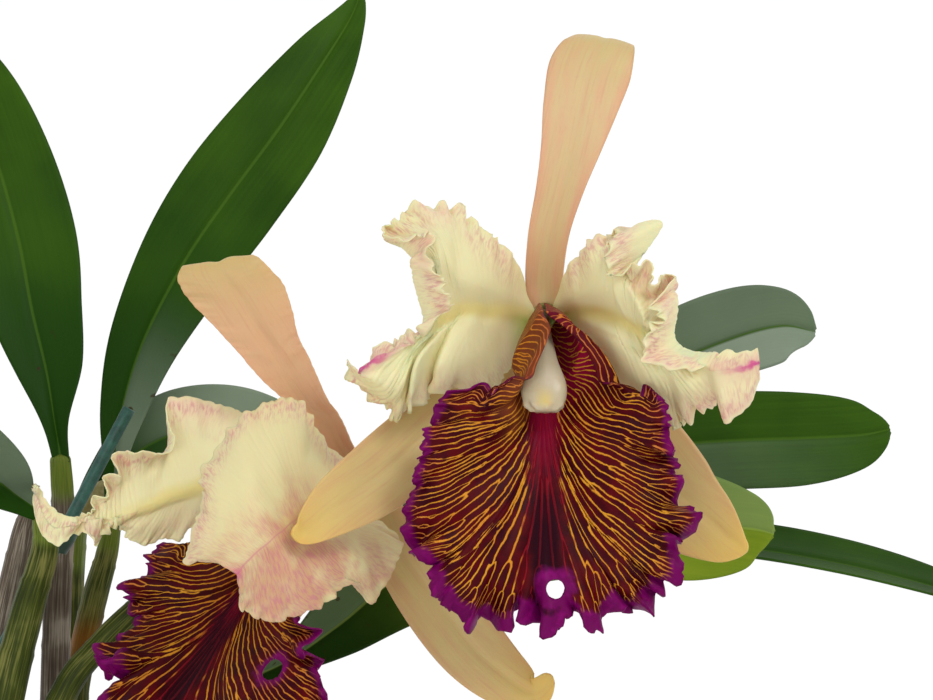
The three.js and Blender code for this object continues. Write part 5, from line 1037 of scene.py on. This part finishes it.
def makeLip(name, axes, edgeTable, seed, material):
    # the lip's grid pushed along its normal by crinkles that fade from the rim as exp(-(rim / depth)^2)
    s = lipSettings
    local, along, across, t = lipGrid(axes, edgeTable, s)
    besides = np.minimum(arcFrom(local, 1, True), arcFrom(local, 1, False))
    rim = np.minimum(arcFrom(local, 0, False), 1.4 + besides)
    edgeRun = arcFrom(local, 1, True)
    edgeRun = edgeRun[-1:, :] + 0 * edgeRun
    normal = gridNormals(local)
    shoulder = 1 - 0.8 * easeStep(0.72, 0.95, np.abs(across))
    shift = 0
    for amount, wavelength, depth, number in s["crinkles"]:
        shift = shift + amount * shoulder * np.exp(-(rim / depth) ** 2) * ripple(
            edgeRun + 0.25 * rim, wavelength, number + seed)
    local = local + normal * (shift * easeStep(0.05, 0.4, t))[..., None]
    slide = 0.3 * np.exp(-(rim / 2.5) ** 2) * ripple(edgeRun, 2.6, 60 + seed) * easeStep(0.05, 0.4, t)
    local = local + unit(np.gradient(local, axis=0)) * slide[..., None]
    # the holes: points inside a hole's circle move out to it, and faces over it are left out
    keep = True
    for holeSide, holeDown, radius, hem in s["holes"][seed > 0]:
        offset = local[..., :2] - np.array([holeSide, s["throatHeight"] + holeDown]) - np.array(axes["sway"])
        far = np.linalg.norm(offset, axis=-1)
        snap = (far < radius) & (far > radius - 0.7)
        local[..., :2] += np.where(snap[..., None], unit(offset) * (radius - far)[..., None], 0)
        outside = far > radius - 0.7
        keep = keep & outside[:-1, :-1] & outside[:-1, 1:] & outside[1:, :-1] & outside[1:, 1:]
        rim = np.minimum(rim, np.maximum(far - radius, 0) + hem)
    # a vein's label: its share of the angle, and on the side lobes also how far in it leaves the middle
    share = np.abs(across)
    inward = (1 - along / 0.46).clip(0) ** 1.4
    label = across + np.sign(across) * s["lobeVeins"] * easeStep(0.5, 0.72, share) * inward
    # spread = 1 / |gradient of the label| from the two tangents a and b of the grid
    a, b = np.gradient(local, axis=0), np.gradient(local, axis=1)
    p, q = np.gradient(label, axis=0), np.gradient(label, axis=1)
    aa, bb, ab = (a * a).sum(-1), (b * b).sum(-1), (a * b).sum(-1)
    slope = (p * p * bb - 2 * p * q * ab + q * q * aa) / np.maximum(aa * bb - ab * ab, 1e-9)
    spread = np.clip(1 / np.sqrt(np.maximum(slope, 1e-9)), 3, 400)
    middle = np.exp(-(across / 0.42) ** 2)
    spacing = 1.5 + middle * 1.6 * easeStep(0.3, 0.55, t) * (1 - easeStep(0.6, 0.98, t))
    spacing = spacing * np.exp(0.22 * ripple(across * 34 + 2 * t, 5, 71 + seed))
    octave = np.log2(spread / spacing)
    sway = 0.3 * ripple(t * 60 + across * 9, 22, 81 + seed) * easeStep(0, 0.3, t) / spread
    sway = sway * easeStep(0.08, 0.25, share)
    sideways = np.abs(local[..., 0] - axes["sway"][0])
    border = 3.2 + 3.8 * easeStep(0.1, 0.75, t) - 0.8 * ripple(t * 60 + across * 4, 6, 91 + seed)
    tone = easeStep(0, 1.6, sideways - border)
    coreFrom = s["coreFrom"][seed > 0]
    core = (1 - easeStep(2.6, 5.2, sideways)) * easeStep(coreFrom, coreFrom + 0.25, t)
    tone = np.maximum(tone, easeStep(0.6, 0.75, share) * (1 - easeStep(0.2, 0.5, t)))
    bold = 0.135 + 0.16 * middle * easeStep(0.15, 0.4, t) * (1 - easeStep(0.5, 0.9, t))
    right, up = unit(np.array(axes["right"], float)), unit(np.array(axes["up"], float))
    world = (np.array(axes["origin"]) + local[..., :1] * right + local[..., 1:2] * up
             + local[..., 2:] * np.cross(right, up))
    uv = np.stack([label + sway, t], -1)
    thick = s["thick"] * (1 - 0.4 * np.exp(-(rim / 5) ** 2))
    values = {
        "octave": octave, "spread": spread, "rim": rim, "tone": tone, "bold": bold, "core": core,
        "loose": 0.2 + 0.8 * easeStep(0.08, 0.25, share),
        "throat": (1 - easeStep(0.0, 0.35, t)) * easeStep(-0.62, -0.5, across)
                  * (1 - 0.7 * easeStep(0.9, 0.98, share)),
        "husk": easeStep(0.55, 0.66, -across) * (1 - easeStep(0.35, 0.6, t)) * s["husk"][seed > 0],
        "purple": 2.2 + 3.2 * easeStep(0.55, 0.95, np.cos(np.radians(s["halfAngle"] * across)))
                  - 1.5 * easeStep(0.7, 0.9, share) * (1 - easeStep(0.3, 0.8, t))}
    return closedSheet(name, world, thick, uv, values, material, keep)


lipColours = {"maroon": tint(0.36, 0.01, 0.04), "dark": tint(0.20, 0.005, 0.05),
              "crimson": tint(0.64, 0.06, 0.24), "purple": tint(0.43, 0.01, 0.33),
              "highlightViolet": tint(0.56, 0.04, 0.44), "gold": tint(0.90, 0.66, 0.18),
              "amber": tint(0.80, 0.46, 0.13), "rose": tint(0.78, 0.44, 0.22),
              "thread": tint(0.62, 0.08, 0.15), "husk": tint(0.50, 0.25, 0.13),
              "heart": tint(0.13, 0.01, 0.07)}


def lipRecipe(colours):
    # wave = -((1 - split) cos(turn) + split cos(2 turn)), with turn = 2 pi label 2^level: each vein is a
    # crest of the wave, which becomes two as split grows, and sqrt(2 (crest - wave) / sharp) is how far
    # off it a point is
    def recipe(f):
        octave = f.attribute("octave")
        spread = f.attribute("spread")
        rim = f.attribute("rim")
        wiggle = (f.noise(260.0, 3.0) - 0.5) * 1.3 * f.attribute("loose") / spread
        across = f.uv().part(0) + wiggle
        level = f.calc("FLOOR", octave)
        split = (octave - level).fade(0.3, 0.95)
        cycles = f.calc("POWER", 2.0, level)
        turn = across * cycles * (2 * math.pi)
        wave = -((1 - split) * f.calc("COSINE", turn) + split * f.calc("COSINE", turn * 2.0))
        # the crest's height and sharpness tell how far a point is from the middle of its vein
        late = f.calc("GREATER_THAN", split, 0.2)
        safe = f.calc("MAXIMUM", split, 0.05)
        part = (1 - safe) * (1 - safe) / (safe * 8.0)
        crest = late * (part + safe) + (1 - late) * (1 - split * 2.0)
        sharp = late * (safe * 4.0 - part * 2.0) + (1 - late) * (1 - split * 5.0)
        away = f.calc("SQRT", f.calc("MAXIMUM", (crest - wave) * 2.0 / f.calc("MAXIMUM", sharp, 0.35), 0.0))
        distance = away * spread / (cycles * (2 * math.pi))
        grain = f.noise(420.0, 2.0)
        half = f.attribute("bold") + (grain - 0.5) * 0.22
        vein = 1 - (distance - half).fade(-0.1, 0.12)
        inside = (rim - f.attribute("purple") + (f.noise(300.0, 2.0) - 0.5) * 4.0).fade(-1.2, 1.2)
        vein = vein * inside
        patch = f.noise(150.0, 3.0)
        tone = f.attribute("tone")
        ground = (patch * 1.5 - 0.3).fade(0.1, 0.9).mix(colours["dark"], colours["maroon"])
        ground = (f.attribute("throat") * 0.8).mix(ground, colours["crimson"])
        core = f.attribute("core") * (patch * 0.5 + 0.6)
        ground = core.mix(ground, colours["heart"])
        ground = (f.attribute("husk") * 0.8).mix(ground, colours["husk"])
        # lighter violet patches on the purple margin: painted highlights on its crinkles
        foldHighlight = f.noise(330.0, 2.0).fade(0.45, 0.75)
        ground = ((1 - inside) * 0.95).mix(ground, (foldHighlight * 0.6).mix(colours["purple"], colours["highlightViolet"]))
        bright = (f.noise(45.0, 2.0) * 1.6 - 0.3).mix(colours["amber"], colours["gold"])
        metal = (rim.fade(2.0, 10.0)).mix(colours["rose"], bright)
        line = tone.mix(colours["thread"], metal)
        colour = (vein * (0.55 + tone * 0.43) * (1 - core * 0.75)).mix(ground, line)
        return {"Base Color": colour, "Roughness": patch * 0.15 + 0.4,
                "Normal": f.bump(vein * 0.8 + f.noise(1200.0, 2.0) * 0.4, 0.00012)}
    return recipe


lipLook = finish("maroonLip", {"Specular IOR Level": 0.08, "Subsurface Weight": 0.06,
                               "Subsurface Scale": 0.001}, lipRecipe(lipColours))


# columns
columnStations = [[0, -0.5, 3.6, 2.6, 2.6], [0, -3, 11, 2.4, 2.7], [0, -7, 18.5, 2.6, 2.9],
                  [0, -13.5, 25, 3.9, 3], [0, -21, 29.5, 6.2, 3.1], [0, -28, 32, 4.6, 2.4]]
columnSettings = {"rings": 60, "sides": 36, "wing": 0.10, "teeth": 0.12, "ridge": 0.03, "taper": 0.3}


def columnRecipe(f):
    # ivory by patches, with a yellow cap on one side near the free end
    u = f.uv().part(1)
    patch = f.noise(220.0, 3.0)
    body = (patch * 0.8).mix(tint(0.78, 0.73, 0.62), tint(0.72, 0.65, 0.51))
    away = f.calc("ABSOLUTE", f.uv().part(0) - 0.25)
    cap = u.fade(0.80, 0.93) * (1 - u.fade(0.94, 1.0)) * (1 - away.fade(0.0, 0.12))
    colour = (cap * 0.7).mix(body, tint(0.86, 0.76, 0.40))
    return {"Base Color": colour, "Roughness": patch * 0.1 + 0.3,
            "Normal": f.bump(f.noise(700.0, 2.0), 0.0001)}


columnLook = finish("ivoryColumn", {"Subsurface Weight": 0.3, "Subsurface Scale": 0.002}, columnRecipe)


def columnRings(axes, short):
    # the column's stations in the lip's own frame, which leans over by its sway toward the free end
    right, up = unit(np.array(axes["right"], float)), unit(np.array(axes["up"], float))
    face = np.cross(right, up)
    rows = []
    for k, (x, y, z, wide, deep) in enumerate(columnStations):
        drift = float(easeStep(0, 1, k / (len(columnStations) - 1)))
        point = (np.array(axes["origin"]) + (x + axes["sway"][0] * drift) * right
                 + (y + axes["sway"][1] * drift) * short * up + z * axes["reach"] * face)
        rows.append([*point, wide, deep])

    def columnSwell(u, a):
        # a winged rim near the free end, and a ragged lower edge
        s = columnSettings
        wing = s["wing"] * easeStep(0.6, 0.95, u) * np.cos(2 * a)
        teeth = s["teeth"] * easeStep(0.9, 0.97, u) * np.cos(7 * a)
        return wing + teeth + s["ridge"] * np.cos(5 * a + 8 * u) - s["taper"] * easeStep(0.955, 1, u)

    return limbRings(rows, face, steps(columnSettings["rings"]), steps(columnSettings["sides"]), columnSwell)


for seed, (bloomName, bloom) in enumerate(blooms.items()):
    edgeTable = apronEdges[bloomName + "_lip"]
    piece = makeLip(bloomName + "_lip_fine", bloom["lipFrame"], edgeTable, 10 * seed, lipLook)
    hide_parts(bloomName + "_lip")
    rings, uv, u, a = columnRings(bloom["lipFrame"], 1.0 - 0.14 * seed)
    piece = closedTube(bloomName + "_column_fine", rings, uv, {}, columnLook)
    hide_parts(bloomName + "_column")
print("lips and columns made")


# flower stem, sheath, stake and clip
mainStalk = [
    [-3, 58.8, 267, 2.2, 2.2], [1, 57, 273, 2.5, 2.5], [14, 52, 278, 2.5, 2.5],
    [36, 43, 280, 2.5, 2.5], [64, 28, 282.5, 2.5, 2.5], [92, 11, 286.5, 2.6, 2.6],
    [110, 2, 291, 2.4, 2.4], [128, -8, 304, 2.3, 2.3], [146, -22, 321, 2.6, 2.6],
    [156, -34, 332.5, 3.2, 3.2], [158.6, -42, 335.4, 3.4, 3.4],
]
sideStalk = [
    [100, 7, 288, 2.2, 2.2], [107, -2, 290, 2.3, 2.3], [111, -12, 290.5, 2.4, 2.4],
    [110.5, -19.5, 287.6, 2.8, 2.8], [107.2, -26.3, 283.8, 3.4, 3.4],
]
sheathStations = [
    [-2.8, 54.8, 266.6, 3.2, 3.2, 0, 50, 50], [1.5, 53, 271, 6.8, 6.8, 0, 100, 100],
    [14, 48.6, 275.4, 7.6, 7.6, 0, 110, 110], [30, 42, 276.8, 7.6, 7.6, 0, 110, 110],
    [46, 34.6, 278, 6, 6, 0, 90, 90], [58, 28, 279.4, 2, 2, 0, 30, 30],
]
rhizomeRuns = [
    [[-46, 16, 131], [-38, 6, 131.5], [-31, -10, 131.5], [-25, -24, 131.5], [-22, -34, 131]],
    [[-31, -10, 131.5], [-14, -8, 131.5], [10, -11, 131.5], [37, -14, 131.5], [44, -16, 131]],
    [[-38, 6, 131.5], [-18, 12, 131.5], [-2, 16, 131.5], [26, 13, 131.5], [54, 16, 131.5],
      [61, 17, 131]],
    [[-2, 16, 131.5], [-6, 40, 131.5], [-2, 54, 131.5], [2, 62, 131.5]],
    [[-6, 40, 131.5], [14, 38, 131.5], [30, 42, 131.5], [37, 44, 131]],
]
roots = [
    [[10, -11, 131], [13, -30, 132.5], [20, -46, 131], [24, -60, 124]],
    [[-24, -28, 131], [-32, -40, 132.5], [-34, -52, 130], [-38, -60, 122]],
    [[37, -14, 131], [52, -24, 132.5], [62, -34, 129], [64, -38, 122]],
    [[-38, 6, 131], [-48, 24, 132.5], [-52, 38, 130], [-52, 46, 122]],
    [[30, 42, 131], [44, 50, 131.5], [50, 52, 128], [54, 50, 121]],
]
stakeLine = [[-71.4, -4, 122], [-22.8, -4, 214], [26, -4, 306]]
clipLine = [[2.3, -4, 260.8], [4.5, -4, 265], [6.7, -4, 269.1]]


def plainRecipe(first, second, scale, roughness, depth, detail=3.0):
    # the first colour to the second by 0.7 coarse + 0.3 fine noise
    def recipe(f):
        patch = f.noise(scale, detail)
        small = f.noise(scale * 7, 2.0)
        return {"Base Color": (patch * 0.7 + small * 0.3).fade(0.3, 0.7).mix(first, second),
                "Roughness": patch * 0.15 + roughness, "Normal": f.bump(patch * 0.4 + small * 0.6, depth)}
    return recipe


def joinPieces(name, parts, nodeName):
    # several closed meshes put together as one piece
    bpy.ops.object.select_all(action="DESELECT")
    for extra in parts[1:]:
        extra.select_set(True)
    parts[0].select_set(True)
    bpy.context.view_layer.objects.active = parts[0]
    bpy.ops.object.join()
    bpy.ops.object.select_all(action="DESELECT")
    parts[0].name = name
    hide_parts(nodeName)
    return parts[0]


stemLook = finish("stem", {"Specular IOR Level": 0.4},
                  plainRecipe(tint(0.38, 0.44, 0.18), tint(0.58, 0.62, 0.32), 60.0, 0.4, 0.0001))
stemSettings = {"rings": 110, "seatRings": 30, "sides": 28, "ribs": 0.02, "swell": 0.03,
                "seat": [(-9, 3.4), (-5, 3.7), (-1, 3.7), (2.6, 3.0)]}


def stemSwell(u, a):
    # six low ribs round the stalk, and slow swells along it
    return stemSettings["ribs"] * np.cos(6 * a) + stemSettings["swell"] * np.sin(40 * u)


stemParts = []
for number, rows in enumerate([mainStalk, sideStalk]):
    rings, uv, u, a = limbRings(rows, [0.2, 0.1, 1], steps(stemSettings["rings"]),
                                steps(stemSettings["sides"]), stemSwell)
    stemParts.append(closedTube("stalk" + str(number), rings, uv, {}, stemLook))
for bloomName, bloom in blooms.items():
    centre, facing = np.array(bloom["centre"]), unit(np.array(bloom["facing"], float))
    rows = [[*(centre + facing * d), r, r] for d, r in stemSettings["seat"]]
    rings, uv, u, a = limbRings(rows, [0.1, 0.1, 1], steps(stemSettings["seatRings"]),
                                steps(stemSettings["sides"]))
    stemParts.append(closedTube(bloomName + "Seat", rings, uv, {}, stemLook))
joinPieces("flower_stem_fine", stemParts, "flower_stem")

sheathLook = finish("sheath", {"Specular IOR Level": 0.3},
                    plainRecipe(tint(0.50, 0.46, 0.26), tint(0.68, 0.64, 0.44), 120.0, 0.6, 0.0002))
sheathSettings = {"length": 70, "width": 24, "tip": 0.95, "thick": 0.7}
sheathPiece = {"stations": sheathStations, "face": [0.3, 0.8, 0.5]}
piece = blade("sheath_fine", sheathPiece, sheathSettings, sheathLook)
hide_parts("sheath")

stakeLook = finish("stake", {"Specular IOR Level": 0.5},
                   plainRecipe(tint(0.08, 0.24, 0.21), tint(0.16, 0.36, 0.31), 300.0, 0.4, 0.00005))
stakeSettings = {"radius": 2.1, "rings": 60, "sides": 24}
rings, uv, u, a = limbRings([row + [stakeSettings["radius"]] * 2 for row in stakeLine], [0, -1, 0],
                            steps(stakeSettings["rings"]), steps(stakeSettings["sides"]))
piece = closedTube("stake_fine", rings, uv, {}, stakeLook)
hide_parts("stake")

clipLook = finish("clip", {"Specular IOR Level": 0.5},
                  plainRecipe(tint(0.06, 0.17, 0.12), tint(0.12, 0.27, 0.19), 200.0, 0.35, 0.00005))
clipSettings = {"radius": 4.4, "rings": 40, "sides": 36, "crown": 0.10}


def clipSwell(u, a):
    # fullest half way along, and thinner by the crown at both ends
    crown = clipSettings["crown"]
    return crown * (np.cos(math.pi * (2 * u - 1)) + 1) / 2 * (1 + 0 * a) - crown


rings, uv, u, a = limbRings([row + [clipSettings["radius"]] * 2 for row in clipLine], [0, -1, 0],
                            steps(clipSettings["rings"]), steps(clipSettings["sides"]), clipSwell)
piece = closedTube("stem_clip_fine", rings, uv, {}, clipLook)
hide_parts("stem_clip")
print("stem, sheath, stake and clip made")


# pot, rhizome and potting mix
clayLook = finish("clay", {"Specular IOR Level": 0.25},
                  plainRecipe(tint(0.55, 0.30, 0.20), tint(0.68, 0.42, 0.30), 35.0, 0.75, 0.0004, 6.0))
potSettings = {"profile": [(0, 0), (58.2, 0), (59.4, 0.4), (60, 1.5), (62, 14), (70.8, 64), (80.9, 113.6),
                           (81.2, 114), (84.6, 114), (85.6, 114.6), (86, 116), (86, 137.6), (85.4, 139.3),
                           (84, 140), (80.6, 140), (79.4, 139.4), (79, 138.4), (75, 113.8), (65.2, 64),
                           (55.6, 9), (54, 7.2), (52.4, 7), (0, 7)],
               "sides": 128, "spacing": 6, "drains": 4, "drainRadius": 6, "drainRing": 32,
               "drillSides": 32, "drillDepth": 40}


def makePot(s):
    # the profile turned about the upright axis: (r cos a, r sin a, z), with the drains cut through
    points = []
    for (r0, z0), (r1, z1) in zip(s["profile"], s["profile"][1:]):
        count = max(1, int(math.hypot(r1 - r0, z1 - z0) / s["spacing"]))
        points += [(r0 + (r1 - r0) * k / count, z0 + (z1 - z0) * k / count) for k in range(count)]
    points.append(s["profile"][-1])
    profile = np.array(points[1:-1])
    a = np.linspace(0, 2 * math.pi, steps(s["sides"]), endpoint=False)[None, :]
    r, z = profile[:, :1], profile[:, 1:]
    rings = np.stack(np.broadcast_arrays(r * np.cos(a), r * np.sin(a), z + 0 * a), -1)
    u = np.linspace(0, 1, len(profile))[:, None]
    uv = np.stack(np.broadcast_arrays(a / (2 * math.pi) + 0 * r, u + 0 * a), -1)
    pot = closedTube("pot_fine", rings, uv, {}, clayLook)
    for k in range(s["drains"]):
        angle = 2 * math.pi * (k + 0.5) / s["drains"]
        spot = (s["drainRing"] * math.cos(angle) * 0.001, s["drainRing"] * math.sin(angle) * 0.001, 0)
        bpy.ops.mesh.primitive_cylinder_add(vertices=s["drillSides"], radius=s["drainRadius"] * 0.001,
                                            depth=s["drillDepth"] * 0.001, location=spot)
        drill = bpy.context.object
        cut = pot.modifiers.new("drain", "BOOLEAN")
        cut.operation, cut.object, cut.solver = "DIFFERENCE", drill, "EXACT"
        bpy.context.view_layer.objects.active = pot
        bpy.ops.object.modifier_apply(modifier=cut.name)
        bpy.data.objects.remove(drill)
    return pot


piece = makePot(potSettings)
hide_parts("pot")

rootLook = finish("rhizome", {"Specular IOR Level": 0.3},
                  plainRecipe(tint(0.42, 0.42, 0.26), tint(0.66, 0.64, 0.50), 90.0, 0.6, 0.0004))
runSettings = {"rings": 60, "sides": 14, "width": 4.6, "height": 4.2, "rootRadius": 2,
               "rootTaper": 0.25, "ridge": 0.05, "knots": 0.06}
runParts = []
for number, run in enumerate(rhizomeRuns + roots):
    isRoot = number >= len(rhizomeRuns)
    thick = [runSettings["width"], runSettings["height"]]
    rows = [row + ([runSettings["rootRadius"] - runSettings["rootTaper"] * k] * 2 if isRoot else thick)
            for k, row in enumerate(run)]

    def runSwell(u, a, number=number, knots=0 if isRoot else runSettings["knots"]):
        # five ridges round, and evenly spaced knots along the rhizome
        return runSettings["ridge"] * np.cos(5 * a + number) + knots * np.sin(70 * u + number)

    rings, uv, u, a = limbRings(rows, [0, 0, 1], steps(runSettings["rings"]), steps(runSettings["sides"]),
                                runSwell)
    runParts.append(closedTube("run" + str(number), rings, uv, {}, rootLook))
joinPieces("rhizome_fine", runParts, "rhizome")

barkLook = finish("bark", {"Specular IOR Level": 0.2},
                  plainRecipe(tint(0.20, 0.13, 0.09), tint(0.48, 0.33, 0.22), 110.0, 0.8, 0.0012, 6.0))
mixSettings = {"chips": 420, "length": 15, "width": 9, "height": 6, "spread": 69, "top": 129,
               "mound": 3, "seed": 12, "sides": 64,
               "bed": [(30, 7.3), (54.2, 7.3), (65.3, 64), (74.6, 113), (77.2, 128.4), (73, 128.9),
                       (55, 130), (30, 131.4), (10, 131.9)]}


def makeMix(s):
    # a low mound in the pot, and chips: a box grid with rounded, uneven faces, turned at random
    a = np.linspace(0, 2 * math.pi, steps(s["sides"]), endpoint=False)[None, :]
    profile = np.array(s["bed"])
    r, z = profile[:, :1], profile[:, 1:]
    rings = np.stack(np.broadcast_arrays(r * np.cos(a), r * np.sin(a), z + 0 * a), -1)
    uv = np.stack(np.broadcast_arrays(a + 0 * r, z + 0 * a), -1)
    base = closedTube("mixBase", rings, uv, {}, barkLook)
    draw = np.random.default_rng(s["seed"])
    corner = np.array([[x, y, z] for z in (-1, 0, 1) for y in (-1, 1) for x in (-1, 0, 1)], float)
    quads = np.array([[0, 1, 4, 3], [1, 2, 5, 4], [12, 15, 16, 13], [13, 16, 17, 14], [0, 6, 7, 1],
                      [1, 7, 8, 2], [6, 12, 13, 7], [7, 13, 14, 8], [3, 4, 10, 9], [4, 5, 11, 10],
                      [9, 10, 16, 15], [10, 11, 17, 16], [0, 3, 9, 6], [6, 9, 15, 12], [2, 8, 11, 5],
                      [8, 14, 17, 11]])
    n = s["chips"]
    size = np.array([s["length"], s["width"], s["height"]]) / 2 * draw.uniform(0.5, 1.15, (n, 1, 3))
    chips = corner[None] * (1 + 0.22 * draw.uniform(-1, 1, (n, 18, 3))) * size
    chips[:, 6:12, :2] *= 1.12
    turn, tilt = draw.uniform(0, 2 * math.pi, n), draw.uniform(-0.6, 0.6, (2, n))
    c, d = np.cos(tilt[0])[:, None], np.sin(tilt[0])[:, None]
    x, y, z = np.moveaxis(chips, -1, 0)
    chips = np.stack([x * c + z * d, y, z * c - x * d], -1)
    c, d = np.cos(turn)[:, None], np.sin(turn)[:, None]
    x, y, z = np.moveaxis(chips, -1, 0)
    chips = np.stack([x * c - y * d, x * d + y * c, z], -1)
    radius = s["spread"] * np.sqrt(draw.uniform(0, 1, n))
    angle = draw.uniform(0, 2 * math.pi, n)
    low = s["top"] + s["mound"] * (1 - radius / 76) + draw.uniform(-1.5, 1.8, n)
    chips = chips + np.stack([radius * np.cos(angle), radius * np.sin(angle), low], -1)[:, None]
    points = chips.reshape(-1, 3)
    faces = (quads[None] + 18 * np.arange(n)[:, None, None]).reshape(-1, 4)
    loose = putMesh("chips", points, [faces], points[:, :2] * 0.01, {}, barkLook, smooth=False)
    return joinPieces("potting_mix_fine", [base, loose], "potting_mix")


makeMix(mixSettings)
print("pot, rhizome and mix made")


# floor, light and camera
stageSettings = {"floorSize": 2.3, "roomFront": 0.6, "roomBack": 1.02, "roomTurn": 0.35,
                 "sensor": 36}
# each softbox's power in watts, and in metres its width, its place and the point it is aimed at
softboxes = {"keyLight": (7.0, 0.5, (0.75, -1.05, 1.25), (0.12, -0.05, 0.30)),
             "fillLight": (7.0, 0.9, (-0.45, -1.3, 0.02), (0.12, -0.05, 0.33))}
bpy.ops.mesh.primitive_plane_add(size=stageSettings["floorSize"], location=(0, 0, 0))
floor = bpy.context.object
floor.name = "floor"
floor.data.materials.append(finish("paleFloor", {"Specular IOR Level": 0.2}, plainRecipe(
    tint(0.92, 0.92, 0.91), tint(0.95, 0.95, 0.94), 8.0, 0.8, 0.0001)))

world = bpy.data.worlds.new("room")
bpy.context.scene.world = world
world.use_nodes = True
sky = Field(world.node_tree)
backdrop = world.node_tree.nodes["Background"]
turn = stageSettings["roomTurn"]
towardBack = sky.node("TexCoord", {}, {}, 0).part(1).fade(-turn, turn)
level = towardBack * (stageSettings["roomBack"] - stageSettings["roomFront"]) + stageSettings["roomFront"]
world.node_tree.links.new(level.socket, backdrop.inputs["Strength"])
backdrop.inputs["Color"].default_value = (1, 1, 1, 1)


def softbox(name, power, size, spot, aim):
    # a round area light whose -Z side looks along aim - spot
    light = bpy.data.lights.new(name, "AREA")
    light.energy, light.size, light.shape = power, size, "DISK"
    lamp = bpy.data.objects.new(name, light)
    way = np.array(aim, float) - np.array(spot, float)
    lamp.rotation_euler = Vector(way).to_track_quat("-Z", "Y").to_euler()
    lamp.location = spot
    bpy.context.scene.collection.objects.link(lamp)


for name, box in softboxes.items():
    softbox(name, *box)

lens = bpy.data.cameras.new("view")
lens.sensor_width = stageSettings["sensor"]
lens.lens = stageSettings["sensor"] * viewSettings["reach"] / viewSettings["width"]
eye = bpy.data.objects.new("view", lens)
eye.location = [coordinate / 1000 for coordinate in viewSettings["eye"]]
eye.rotation_euler = (math.pi / 2, 0, 0)
bpy.context.scene.collection.objects.link(eye)
bpy.context.scene.camera = eye
bpy.context.scene.view_settings.view_transform = "Standard"

print("scene ready")
